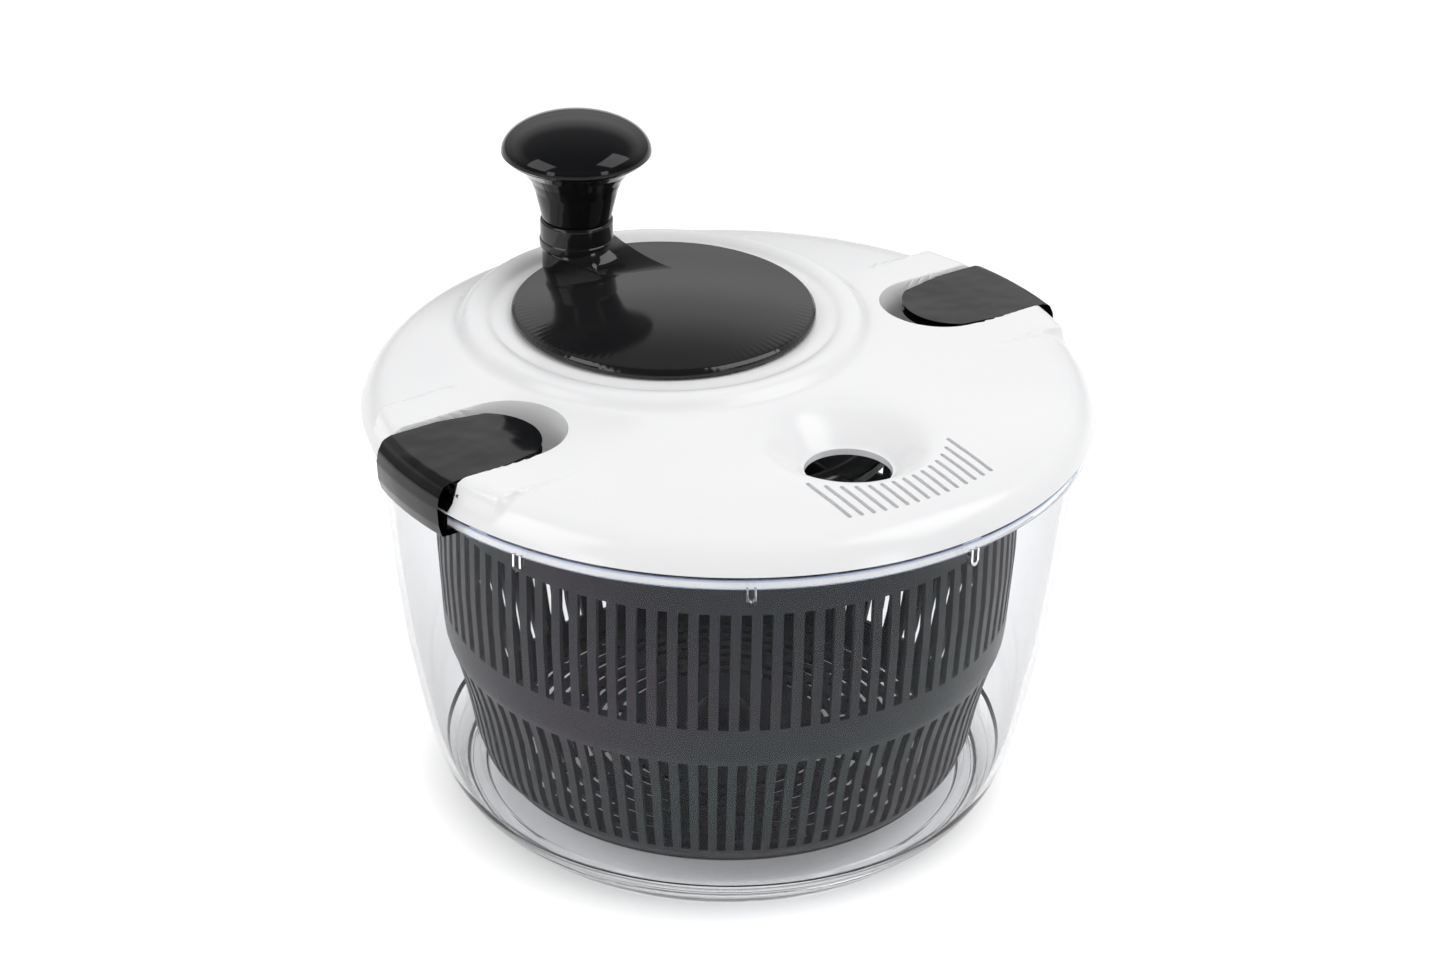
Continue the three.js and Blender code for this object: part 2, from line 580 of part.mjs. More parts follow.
part('crank', crank(), blackGloss, crankGroup);
part('crank_bushing', turned([[6.7, 155], [10.5, 155], [10.5, 155.9], [8.3, 155.9], [8.3, 159.1],
  [6.7, 159.1]], { y: CRANK_Y, sides: SMALL_ROUND }), whiteGearPlastic);
part('crank_gear', crankGear(), whiteGearPlastic, crankGroup);
part('crank_washer', tube(1.9, 9, GEAR_BOTTOM - 1.1, GEAR_BOTTOM - GAP), steel, crankGroup);
part('crank_screw', screw(4.2, GEAR_BOTTOM - 2.9, GEAR_BOTTOM - 1.4, 1.5, 156), steel, crankGroup);

// ---- knob ---------------------------------------------------------------------------------
const CAP_SEAM = KNOB_WIDEST - 1.2;

const knobGroup = new THREE.Group();
knobGroup.position.y = KNOB_OFFSET;
crankGroup.add(knobGroup);

function knobGrip() {
  return turned([
    [4, KNOB_BOTTOM], [12.2, KNOB_BOTTOM], [12.5, KNOB_BOTTOM + 1],
    ...curvePoints([12.6, KNOB_BOTTOM + 3], [13.6, CAP_SEAM - 3.5], [KNOB_RADIUS - 1.6, CAP_SEAM - 0.6], 4),
    [KNOB_RADIUS - 0.9, CAP_SEAM], [9.5, CAP_SEAM], [8, CAP_SEAM - 8], [4, CAP_SEAM - 8],
  ], { sides: 24 });
}

function knobCap() {
  const low = CAP_SEAM + GAP;
  const dome = [];
  for (let i = 0; i <= 4; i += 1) {
    const angle = radians(90 * i / 4);
    dome.push([KNOB_RADIUS * Math.cos(angle), KNOB_WIDEST + (KNOB_TOP - KNOB_WIDEST) * Math.sin(angle)]);
  }
  dome[4][0] = 0;
  return turned([
    [0, low + 2.4], [9.2, low + 2.4], [9.2, low], [KNOB_RADIUS - 0.9, low], ...dome,
  ], { sides: 24 });
}

part('knob_grip', knobGrip(), blackGloss, knobGroup);
part('knob_cap', knobCap(), blackGloss, knobGroup);
part('knob_spindle', join(
  cylinder(3, 164.3, CAP_SEAM - 7, { sides: 16 }),
  cylinder(6.5, CAP_SEAM - 7.7, CAP_SEAM - 4.5, { sides: 16 }),
), steel, knobGroup);

// ---- latches ------------------------------------------------------------------------------
// A latch at the +X side: a top plate with a round inner end, a bowed outer wall and a hook
// that lies under the bowl's flange.
function latch() {
  const outline = new THREE.Shape();
  outline.moveTo(130, -LATCH_HALF_WIDTH);
  outline.lineTo(130, LATCH_HALF_WIDTH);
  outline.lineTo(LATCH_END, LATCH_HALF_WIDTH);
  outline.absarc(LATCH_END, 0, LATCH_HALF_WIDTH, Math.PI / 2, 1.5 * Math.PI, false);
  const section = turned([
    [118.4, LATCH_HOOK_BOTTOM], [124.4, LATCH_HOOK_BOTTOM], [125.4, 141], [126, 147], [125.4, 150.5],
    [123.9, 153.6], [122, LATCH_TOP], [60, LATCH_TOP - 0.3], [60, LATCH_TOP - 3.2], [104, LATCH_TOP - 3.8],
    [113.2, 147.3], [120.4, 147.3], [122.4, 145.4], [122.5, LATCH_HOOK_TOP], [118.4, LATCH_HOOK_TOP],
  ], { sides: 60 });
  const body = section.intersect(prism(outline, 130, 170, 8));
  const thinned = block([60, 104], [-16, 16], [140, LATCH_TOP - 2.6]);
  const pinBore = cylinderAlongY(1.85, LATCH_PIN_X, LATCH_PIN_Z, -25, 25, 12);
  const springWindow = join(
    cylinderAlongY(3.5, LATCH_PIN_X, LATCH_PIN_Z, -7.5, 7.5, 12),
    block([LATCH_PIN_X - 6, LATCH_PIN_X + 3.5], [-7.5, 7.5], [140, LATCH_PIN_Z]),
  );
  return cut(body, thinned, pinBore, springWindow);
}

// Torsion spring round the latch pin, with a leg that stands on the lid's skirt.
function latchSpring() {
  const turns = 3;
  const stepsPerTurn = 6;
  const coilRadius = 2.45;
  const path = [];
  for (let i = 0; i <= turns * stepsPerTurn; i += 1) {
    const angle = 2 * Math.PI * i / stepsPerTurn;
    const y = -5 + 10 * i / (turns * stepsPerTurn);
    path.push(new THREE.Vector3(LATCH_PIN_X - coilRadius * Math.cos(angle), y,
      LATCH_PIN_Z - coilRadius * Math.sin(angle)));
  }
  const last = path[path.length - 1];
  path.push(new THREE.Vector3(last.x - 0.1, last.y + 0.1, LATCH_PIN_Z - 2.2));
  path.push(new THREE.Vector3(last.x - 0.3, last.y + 0.1, LATCH_PIN_Z - 4.4));
  const wire = new THREE.Shape();
  wire.setFromPoints([point(0.42, 0), point(0, 0.42), point(-0.42, 0), point(0, -0.42)]);
  const extrudePath = new THREE.CatmullRomCurve3(path);
  const options = { steps: path.length + 2, bevelEnabled: false, extrudePath };
  return solid(new THREE.ExtrudeGeometry(wire, options));
}

const latchPin = cylinderAlongY(1.5, LATCH_PIN_X, LATCH_PIN_Z, -21.3, 21.3, 12);
part('latch_right', latch(), blackGloss);
part('latch_left', mirrored(latch()), blackGloss);
part('latch_pin_right', latchPin, steel);
part('latch_pin_left', mirrored(latchPin), steel);
part('latch_spring_right', latchSpring(), steel);
part('latch_spring_left', mirrored(latchSpring()), steel);

export default spinner;
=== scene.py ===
"""Salad spinner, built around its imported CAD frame.

Lengths in the modelling code are millimetres; meshes are scaled to metres when they are made.
The axis of the bowl is X = Y = 0 and the surface it stands on is Z = 0.
"""
import math

import bpy
import numpy as np
from mathutils import Matrix, Vector
from mathutils.geometry import delaunay_2d_cdt


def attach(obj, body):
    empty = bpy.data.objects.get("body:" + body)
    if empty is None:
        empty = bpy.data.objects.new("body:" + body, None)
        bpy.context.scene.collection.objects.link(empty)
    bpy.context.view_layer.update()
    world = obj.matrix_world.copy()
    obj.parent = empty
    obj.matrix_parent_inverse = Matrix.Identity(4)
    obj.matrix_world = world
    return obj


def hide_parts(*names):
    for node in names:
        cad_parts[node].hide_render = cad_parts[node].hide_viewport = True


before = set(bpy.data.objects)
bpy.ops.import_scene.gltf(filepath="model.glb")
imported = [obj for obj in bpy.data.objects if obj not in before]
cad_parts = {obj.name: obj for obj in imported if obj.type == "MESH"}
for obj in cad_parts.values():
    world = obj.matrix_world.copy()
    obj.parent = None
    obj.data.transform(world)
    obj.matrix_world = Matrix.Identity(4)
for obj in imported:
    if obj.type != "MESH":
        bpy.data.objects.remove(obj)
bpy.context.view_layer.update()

MM = 0.001
SHARP_ANGLE = 38.0

# ---- driving dimensions, millimetres ------------------------------------------------------
BOWL_WALL = 2.3
FLANGE_RADIUS = 122.0
FLANGE_TOP = 144.2
FLANGE_BOTTOM = 139.7
BOWL_PROFILE = [(8.2, 95.6), (16, 99.7), (28, 103.3), (45, 106.7), (65, 110.4), (90, 113.4),
                (115, 115.6), (139, 117.9), (150, 118.9)]
WALL_ROWS = (14, 138, 42)
THIN_WALL_ZONE = (14.5, 137)
TAB_COUNT = 10
TAB_FIRST_ANGLE = -85.6

BASKET_WALL = 1.8
BASKET_FLOOR = 14.0
BASKET_TOP = 132.8
BASKET_LIP = 129.0
BASKET_LIP_INSIDE = 97.2
BASKET_SLOTS = 92
SLOT_SHARE = 0.52
UPPER_SLOTS = (73.7, 117.4)
LOWER_SLOTS = (19.5, 59.0)
DOG_COUNT = 12

LID_RADIUS = 122.7
LID_EDGE = 144.5
LID_WALL = 2.2
SKIRT_RADIUS = 114.6
SKIRT_BOTTOM = 137.2
CRANK_Y = 39.2
PLATFORM_RECESS = 159.3
POCKET_CENTRE = 87.5
POCKET_HALF_WIDTH = 19.8
POCKET_FLOOR = 139.8
PASSAGE_FLOOR = 145.3
SHOULDER_HALF_WIDTH = 36.5
SPOUT_Y = -67.0
SPOUT_HOLE_RADIUS = 14.3
SPOUT_REACH = 32.5
VENT_COUNT = 15
VENT_PITCH = 3.97
VENT_WIDTH = 1.5
VENT_INNER_ARC = (-58.8, 36.2)
VENT_OUTER_ARC = 109.0

CRANK_REST_ANGLE = 9.5
DISC_RADIUS = 52.0
DISC_BOTTOM = 159.9
DISC_TOP = 163.2
DOME_RISE = 4.2
DOME_RADIUS = 50.0
RIPPLE_COUNT = 118.0
RIPPLE_ZONE = (43.0, 49.0)
KNOB_OFFSET = 44.0
BOSS_RADIUS = 12.9
BOSS_STEP = 173.5
BOSS_TOP = 180.9
FOOT_RIGHT = (17.0, 9.9)
FOOT_LEFT = (-6.5, 23.5)
FOOT_TURN = -107.6
FOOT_LINE_SHARE = 0.5
FOOT_SINK = 0.12
FAIRING_START = -30.0
FAIRING_END = -183.0
LIP_TOP = BOSS_STEP - 2.9
KNOB_RADIUS = 25.8
KNOB_WIDEST = 205.5
KNOB_TOP = 217.2
CAP_SEAM = KNOB_WIDEST - 1.2

DRIVER_BOTTOM = 131.2
DRIVER_TOP = 136.8
SPOKE_COUNT = 6
SPOKE_TURN = 6

LATCH_HALF_WIDTH = 18.9
LATCH_TOP = 155.2
LATCH_END = 96.0
LATCH_PIN_X = 117.0
LATCH_PIN_Z = 150.5
LATCH_SWEEP = 10.5


# ---- mesh helpers -------------------------------------------------------------------------
def new_object(name, vertices, faces, sharp_angle=SHARP_ANGLE):
    """A mesh object from millimetre vertices, smooth but for edges past sharp_angle."""
    mesh = bpy.data.meshes.new(name)
    mesh.from_pydata([tuple(c * MM for c in v) for v in vertices], [], faces)
    mesh.validate()
    mesh.shade_smooth()
    mesh.set_sharp_from_angle(angle=math.radians(sharp_angle))
    obj = bpy.data.objects.new(name, mesh)
    bpy.context.scene.collection.objects.link(obj)
    return obj


def rounded(corners, closed=True, steps=5):
    """A polyline through (x, y[, radius]) corners, each radius a fillet of that size."""
    count = len(corners)
    path = []
    for i, corner in enumerate(corners):
        here = np.array(corner[:2], float)
        radius = corner[2] if len(corner) > 2 else 0.0
        end_point = not closed and i in (0, count - 1)
        if radius == 0 or end_point:
            path.append(tuple(here))
            continue
        to_last = np.array(corners[i - 1][:2], float) - here
        to_next = np.array(corners[(i + 1) % count][:2], float) - here
        last_length = np.linalg.norm(to_last)
        next_length = np.linalg.norm(to_next)
        to_last /= last_length
        to_next /= next_length
        half = math.acos(max(-1.0, min(1.0, float(to_last @ to_next)))) / 2
        reach = min(radius / math.tan(half), last_length * 0.48, next_length * 0.48)
        start = here + to_last * reach
        end = here + to_next * reach
        for k in range(steps + 1):
            t = k / steps
            bend = (1 - t) ** 2 * start + 2 * t * (1 - t) * here + t * t * end
            path.append(tuple(bend))
    return path


def turned_data(path, sides, centre=(0.0, 0.0), closed=True):
    """Vertices and faces of a (radius, z) path turned about a vertical axis."""
    vertices, faces, rings = [], [], []
    for radius, z in path:
        if radius < 1e-6:
            rings.append([len(vertices)] * sides)
            vertices.append((centre[0], centre[1], z))
            continue
        rings.append(list(range(len(vertices), len(vertices) + sides)))
        for k in range(sides):
            angle = 2 * math.pi * k / sides
            vertices.append((centre[0] + radius * math.cos(angle),
                             centre[1] + radius * math.sin(angle), z))
    last = len(rings) if closed else len(rings) - 1
    for i in range(last):
        low, high = rings[i], rings[(i + 1) % len(rings)]
        for k in range(sides):
            n = (k + 1) % sides
            face = []
            for v in (low[k], low[n], high[n], high[k]):
                if v not in face:
                    face.append(v)
            if len(face) > 2:
                faces.append(tuple(face))
    return vertices, faces


def turned(name, corners, sides, centre, closed=True):
    return new_object(name, *turned_data(rounded(corners, closed), sides, centre, closed))


def box_data(x, y, z):
    """Vertices and faces of a block between (low, high) pairs."""
    vertices = [(a, b, c) for c in z for b in y for a in x]
    faces = [(0, 2, 3, 1), (4, 5, 7, 6), (0, 1, 5, 4), (2, 6, 7, 3), (0, 4, 6, 2), (1, 3, 7, 5)]
    return vertices, faces


def turned_by(vertices, degrees):
    """The vertices turned about the bowl's axis."""
    angle = math.radians(degrees)
    cosine, sine = math.cos(angle), math.sin(angle)
    return [(x * cosine - y * sine, x * sine + y * cosine, z) for x, y, z in vertices]


def joined(*parts):
    """Several (vertices, faces) pairs as one."""
    vertices, faces = [], []
    for some_vertices, some_faces in parts:
        start = len(vertices)
        vertices += list(some_vertices)
        faces += [tuple(v + start for v in face) for face in some_faces]
    return vertices, faces


def with_modifier(obj, kind, **settings):
    modifier = obj.modifiers.new(kind.title(), kind)
    for key, value in settings.items():
        setattr(modifier, key, value)


def bake_modifiers(obj):
    """Writes the modifiers into the mesh and shades it again."""
    graph = bpy.context.evaluated_depsgraph_get()
    mesh = bpy.data.meshes.new_from_object(obj.evaluated_get(graph))
    old = obj.data
    obj.modifiers.clear()
    obj.data = mesh
    bpy.data.meshes.remove(old)
    mesh.name = obj.name
    mesh.shade_smooth()
    mesh.set_sharp_from_angle(angle=math.radians(SHARP_ANGLE))


def boolean(obj, tool, operation):
    """Applies one boolean and throws the tool away."""
    with_modifier(obj, "BOOLEAN", object=tool, operation=operation, solver="EXACT")
    bake_modifiers(obj)
    bpy.data.objects.remove(tool)


def bevel(obj, width):
    """Rounds the edges that bend by more than 35 degrees."""
    with_modifier(obj, "BEVEL", width=width * MM, segments=3, limit_method="ANGLE",
                  angle_limit=math.radians(35), use_clamp_overlap=True)
    bake_modifiers(obj)


def prism_data(outline, bottom, top):
    """Vertices and faces of an (x, y) outline raised from bottom to top."""
    count = len(outline)
    vertices = [(x, y, bottom) for x, y in outline] + [(x, y, top) for x, y in outline]
    faces = [tuple(reversed(range(count))), tuple(range(count, 2 * count))]
    for k in range(count):
        n = (k + 1) % count
        faces.append((k, n, n + count, k + count))
    return vertices, faces


def finished(obj, body, material, slot, *nodes):
    """Gives a piece its material and its body and hides the CAD nodes it stands for; slot is not used."""
    obj.data.materials.clear()
    obj.data.materials.append(material)
    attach(obj, body)
    if nodes:
        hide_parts(*nodes)
    return obj


def at_crank(obj):
    """Moves a piece modelled about the crank's axis, knob towards +Y, to its rest place."""
    move = Matrix.Translation((0, CRANK_Y * MM, 0)) @ Matrix.Rotation(
        math.radians(CRANK_REST_ANGLE), 4, "Z")
    obj.data.transform(move)
    return obj


def soft_profile(points, blur):
    """Height against distance through the points, with its corners softened over blur."""
    step = 0.05
    points = sorted(points)
    x = np.arange(points[0][0] - 4 * blur, points[-1][0] + 4 * blur, step)
    z = np.interp(x, [p[0] for p in points], [p[1] for p in points])
    half = max(1, int(round(3 * blur / step)))
    kernel = np.exp(-0.5 * (np.arange(-half, half + 1) * step / blur) ** 2)
    padded = np.pad(z, half, mode="edge")
    soft = np.convolve(padded, kernel / kernel.sum(), mode="valid")
    return lambda d: np.interp(d, x, soft)


# ---- materials ----------------------------------------------------------------------------
class Nodes:
    """A short way to build a material's node tree."""

    def __init__(self, name, **settings):
        self.material = bpy.data.materials.new(name)
        self.material.use_nodes = True
        self.tree = self.material.node_tree
        self.shader = self.tree.nodes["Principled BSDF"]
        self.output = self.tree.nodes["Material Output"]
        self.place = self.add("ShaderNodeTexCoord").outputs["Object"]
        for key, value in settings.items():
            self.shader.inputs[key.replace("_", " ")].default_value = value

    def add(self, kind, **settings):
        node = self.tree.nodes.new(kind)
        for key, value in settings.items():
            setattr(node, key, value)
        return node

    def link(self, a, b):
        self.tree.links.new(a, b)

    def noise(self, scale, detail=3.0, stretch=(1, 1, 1)):
        mapping = self.add("ShaderNodeMapping")
        mapping.inputs["Scale"].default_value = stretch
        self.link(self.place, mapping.inputs["Vector"])
        node = self.add("ShaderNodeTexNoise")
        node.inputs["Scale"].default_value = scale
        node.inputs["Detail"].default_value = detail
        self.link(mapping.outputs["Vector"], node.inputs["Vector"])
        return node.outputs["Fac"]

    def spread(self, value, low, high, from_low=0.3, from_high=0.7):
        """Maps from_low to from_high, the usual span of a noise, onto low to high."""
        node = self.add("ShaderNodeMapRange")
        node.inputs["From Min"].default_value = from_low
        node.inputs["From Max"].default_value = from_high
        node.inputs["To Min"].default_value = low
        node.inputs["To Max"].default_value = high
        self.link(value, node.inputs["Value"])
        return node.outputs["Result"]

    def blend(self, factor, first, second):
        node = self.add("ShaderNodeMix", data_type="RGBA")
        self.link(factor, node.inputs[0])
        for socket, colour in ((node.inputs[6], first), (node.inputs[7], second)):
            if isinstance(colour, tuple):
                socket.default_value = (*colour, 1)
            else:
                self.link(colour, socket)
        return node.outputs[2]

    def math(self, operation, first, second=None):
        node = self.add("ShaderNodeMath", operation=operation)
        for socket, value in zip(node.inputs, (first, second)):
            if isinstance(value, (int, float)):
                socket.default_value = value
            elif value is not None:
                self.link(value, socket)
        return node.outputs[0]

    def colour(self, value):
        self.link(value, self.shader.inputs["Base Color"])

    def roughness(self, value):
        self.link(value, self.shader.inputs["Roughness"])

    def bump(self, height, strength, distance):
        """Adds a bump on top of those already there."""
        node = self.add("ShaderNodeBump")
        node.inputs["Strength"].default_value = strength
        node.inputs["Distance"].default_value = distance
        self.link(height, node.inputs["Height"])
        previous = self.shader.inputs["Normal"]
        if previous.is_linked:
            self.link(previous.links[0].from_socket, node.inputs["Normal"])
        self.link(node.outputs["Normal"], self.shader.inputs["Normal"])


def moulded(name, dark, light, smoothest, roughest, wave, grain=0.02, wave_scale=35, **settings):
    """Injection-moulded plastic: faint colour flow, uneven gloss, slight waviness, fine skin."""
    n = Nodes(name, **settings)
    n.colour(n.blend(n.spread(n.noise(16, 4), 0, 1), dark, light))
    n.roughness(n.spread(n.noise(60, 5), smoothest, roughest))
    n.bump(n.noise(wave_scale, 2), wave, 0.0006)
    n.bump(n.noise(1200, 2), grain, 0.0001)
    return n


def white_plastic():
    n = moulded("white_moulding", (0.84, 0.842, 0.85), (0.87, 0.87, 0.875), 0.16, 0.26, 0.02)
    return n.material


def black_gloss(name="black_gloss", wave=0.05, shine=0.25, wave_scale=35):
    n = moulded(name, (0.0048, 0.005, 0.0058), (0.0078, 0.008, 0.0088), 0.05, 0.11, wave, 0.006,
                wave_scale, IOR=1.5, Specular_IOR_Level=shine)
    return n.material


def disc_gloss():
    """The crank disc's black: its top shows faint moulding ripples round the edge."""
    n = moulded("black_gloss_disc", (0.009, 0.009, 0.0098), (0.013, 0.013, 0.014), 0.07, 0.14,
                0.03, 0.006, IOR=1.5, Specular_IOR_Level=0.45)
    apart = n.add("ShaderNodeSeparateXYZ")
    n.link(n.place, apart.inputs[0])
    x = apart.outputs["X"]
    y = n.math("SUBTRACT", apart.outputs["Y"], CRANK_Y * MM)
    radius = n.math("SQRT", n.math("ADD", n.math("MULTIPLY", x, x), n.math("MULTIPLY", y, y)))
    ripple = n.math("SINE", n.math("MULTIPLY", n.math("ARCTAN2", y, x), RIPPLE_COUNT))
    near_edge = n.spread(radius, 0, 1, RIPPLE_ZONE[0] * MM, RIPPLE_ZONE[1] * MM)
    n.bump(n.math("MULTIPLY", ripple, near_edge), 0.04, 0.0003)
    return n.material


def basket_plastic():
    """Dark smoky plastic with the faint purple and green of stressed clear plastic before it."""
    green, purple = (0.038, 0.052, 0.050), (0.062, 0.046, 0.058)
    n = moulded("basket_smoke_grey", (0.043, 0.0445, 0.049), (0.049, 0.0505, 0.0555), 0.3, 0.42,
                0.03, 0.0, IOR=1.5, Specular_IOR_Level=0.1)
    base = n.shader.inputs["Base Color"].links[0].from_socket
    tint = n.blend(n.spread(n.noise(9, 1, (1, 1, 2.5)), 0, 1, 0.35, 0.65), green, purple)
    n.colour(n.blend(n.spread(n.noise(5, 2), 0.15, 0.75), base, tint))
    return n.material


def driver_plastic():
    n = moulded("driver_black", (0.008, 0.008, 0.009), (0.014, 0.014, 0.015), 0.1, 0.22, 0.05)
    return n.material


def gear_plastic():
    n = moulded("natural_acetal", (0.72, 0.70, 0.64), (0.80, 0.785, 0.73), 0.32, 0.48, 0.05, 0.04)
    return n.material


def zinc_steel():
    n = Nodes("zinc_steel", Metallic=1.0)
    streaks = n.spread(n.noise(240, 3, (1, 1, 8)), 0, 1)
    n.colour(n.blend(streaks, (0.50, 0.51, 0.53), (0.68, 0.68, 0.69)))
    n.roughness(n.spread(n.noise(500, 4, (1, 1, 12)), 0.18, 0.36))
    n.bump(n.noise(1500, 2, (1, 1, 10)), 0.08, 0.0001)
    return n.material


def clear_plastic(name, index, tint, painted_edge_shade):
    """Polished clear plastic that lets lamps through to what it holds. A low index keeps the
    wall from mirroring the floor over the basket, and where the wall is seen edge-on its colour
    is darkened by the facing angle, painted shade for the dark edges of the wall. The flange's
    top has a blue cast."""
    flange_blue = (0.40, 0.48, 0.78)
    n = Nodes(name, Transmission_Weight=1.0, IOR=index)
    apart = n.add("ShaderNodeSeparateXYZ")
    n.link(n.place, apart.inputs[0])
    in_flange = n.spread(apart.outputs["Z"], 0, 1, (FLANGE_TOP - 2.1) * MM, (FLANGE_TOP - 1.5) * MM)
    # Painted shade: the colour darkens where the wall is seen edge-on.
    facing = n.add("ShaderNodeLayerWeight").outputs["Facing"]
    through = n.blend(n.spread(facing, 0, 1, 0.5, 0.95), tint, painted_edge_shade)
    n.colour(n.blend(in_flange, through, flange_blue))
    n.roughness(n.spread(n.noise(40, 3), 0.0, 0.012, 0.35, 0.75))
    n.bump(n.noise(22, 2), 0.02, 0.0008)
    path = n.add("ShaderNodeLightPath")
    open_to_light = n.add("ShaderNodeBsdfTransparent")
    open_to_light.inputs["Color"].default_value = (0.95, 0.955, 0.965, 1)
    mix = n.add("ShaderNodeMixShader")
    n.link(path.outputs["Is Shadow Ray"], mix.inputs[0])
    n.link(n.shader.outputs[0], mix.inputs[1])
    n.link(open_to_light.outputs[0], mix.inputs[2])
    n.link(mix.outputs[0], n.output.inputs["Surface"])
    return n.material


WHITE = white_plastic()
BLACK = black_gloss()
LATCH_BLACK = black_gloss("black_gloss_latch", wave=0.9, shine=0.3, wave_scale=48)
DISC_BLACK = disc_gloss()
BASKET_GREY = basket_plastic()
DRIVER_BLACK = driver_plastic()
ACETAL = gear_plastic()
ZINC = zinc_steel()
CLEAR = clear_plastic("clear_polystyrene", 1.5, (0.98, 0.983, 0.99), (0.95, 0.953, 0.96))
CLEAR_WALL = clear_plastic("clear_polystyrene_wall", 1.12, (0.87, 0.874, 0.884), (0.58, 0.58, 0.59))


# ---- bowl ---------------------------------------------------------------------------------
def bowl():
    """One turned shell: foot ring, bulged wall, stepped flange, floor and centre pivot."""
    wall_radius = soft_profile(BOWL_PROFILE, 5.0)
    wall = [(float(wall_radius(z)), float(z)) for z in np.linspace(*WALL_ROWS)]
    outer = [(87.2, 0, 1.0), (90.4, 3.2, 2.5), (94.8, 7.6, 5), *wall]
    inner = [(r - BOWL_WALL, z) for r, z in reversed(wall)]
    corners = [
        (0, 2.4), (78, 2.4, 1), (82.5, 2.2, 1.2), (83.8, 0, 0.7), *outer,
        (118.1, FLANGE_TOP - 1.7, 0.6), (120.2, FLANGE_TOP - 1.7, 0.5), (120.3, FLANGE_BOTTOM, 0.4),
        (FLANGE_RADIUS, FLANGE_BOTTOM, 0.5), (FLANGE_RADIUS, FLANGE_TOP, 0.8),
        (116.0, FLANGE_TOP, 0.7),
        *inner, (93.6, 10.0, 4), (89.5, 6.8, 3), (86.8, 7.4, 0.8), (85.2, 7.4, 0.8), (83.6, 5.2, 1.2),
        (13, 5.0, 2), (8.5, 5.4, 1.5), (5.2, 8.5, 2), (4.4, 11.4, 1), (3, 13, 0.8), (0, 13),
    ]
    parts = [turned_data(rounded(corners, closed=False, steps=4), 192, closed=False)]
    for k in range(TAB_COUNT):
        parts.append(hanging_tab(TAB_FIRST_ANGLE + 360 * k / TAB_COUNT))
    return new_object("bowl_clear", *joined(*parts), sharp_angle=50)


def hanging_tab(angle):
    """A small U-shaped rib that hangs under the flange: two legs and a round foot."""
    outline = [(-1.6, 0), (-1.6, -4.4), (-1.1, -5.6), (0, -6.1), (1.1, -5.6), (1.6, -4.4),
               (1.6, 0), (0.9, 0), (0.9, -4.2), (0, -4.9), (-0.9, -4.2), (-0.9, 0)]
    count = len(outline)
    inner, outer = FLANGE_RADIUS - 2.3, FLANGE_RADIUS - 0.15
    top = FLANGE_BOTTOM + 0.2
    vertices = [(r, y, top + z) for r in (outer, inner) for y, z in outline]
    faces = [(k, (k + 1) % count, (k + 1) % count + count, k + count) for k in range(count)]
    rim = [(0, 1, 10, 11), (1, 2, 9, 10), (2, 3, 9), (3, 4, 9), (4, 5, 8, 9), (5, 6, 7, 8)]
    faces += [tuple(reversed(f)) for f in rim]
    faces += [tuple(v + count for v in f) for f in rim]
    return turned_by(vertices, angle), faces


bowl_object = finished(bowl(), "bowl", CLEAR, "clear_plastic", "bowl")
bowl_object.data.materials.append(CLEAR_WALL)
for face in bowl_object.data.polygons:
    if THIN_WALL_ZONE[0] * MM < face.center.z < THIN_WALL_ZONE[1] * MM:
        face.material_index = 1


# ---- basket -------------------------------------------------------------------------------
def perforated(path, columns, open_cell, wall):
    """A turned sheet with some cells left out. path is (radius, z) along the outer face;
    wall(radius, z) gives the matching inner point. Every open edge is closed by a side face."""
    rows = len(path)
    vertices = []
    for points in (path, [wall(r, z) for r, z in path]):
        for r, z in points:
            for angle in columns:
                vertices.append((r * math.cos(angle), r * math.sin(angle), z))
    count = len(columns)
    layer = rows * count
    closed = [[not open_cell(i, k) for k in range(count)] for i in range(rows - 1)]
    faces = []
    for i in range(rows - 1):
        for k in range(count):
            if not closed[i][k]:
                continue
            n = (k + 1) % count
            a, b, c, d = i * count + k, i * count + n, (i + 1) * count + n, (i + 1) * count + k
            faces.append((a, b, c, d))
            faces.append((d + layer, c + layer, b + layer, a + layer))
            if i == 0 or not closed[i - 1][k]:
                faces.append((b, a, a + layer, b + layer))
            if i == rows - 2 or not closed[i + 1][k]:
                faces.append((d, c, c + layer, d + layer))
            if not closed[i][k - 1]:
                faces.append((a, d, d + layer, a + layer))
            if not closed[i][n]:
                faces.append((c, b, b + layer, c + layer))
    return vertices, faces


def slot_columns(slots, open_share, open_steps=2, bar_steps=3):
    """Column angles round a circle and, for each column, whether it lies in a slot."""
    angles, in_slot = [], []
    pitch = 2 * math.pi / slots
    for s in range(slots):
        for k in range(open_steps):
            angles.append(pitch * (s + open_share * (k / open_steps - 0.5)))
            in_slot.append(True)
        for k in range(bar_steps):
            angles.append(pitch * (s + open_share * 0.5 + (1 - open_share) * k / bar_steps))
            in_slot.append(False)
    return angles, in_slot


BASKET_WALL_PATH = [
    (79.6, 12.6), (81.8, 15), (84.6, 18), (85.1, 19.5), (87.3, 26), (88.3, 31), (89.2, 36), (90.3, 41),
    (91.3, 46), (92.4, 50), (93.5, 54), (94.5, 57), (95.1, 59), (96.0, 60.8), (96.6, 63), (97.1, 68),
    (97.35, 73.7), (98.0, 84), (98.7, 95), (98.8, 106), (98.8, 117.4), (98.8, 124), (98.9, 127.5),
    (99.6, 129.6), (101.3, 130.4), (102.0, 130.9), (102.0, 132.2), (101.5, 132.8),
]


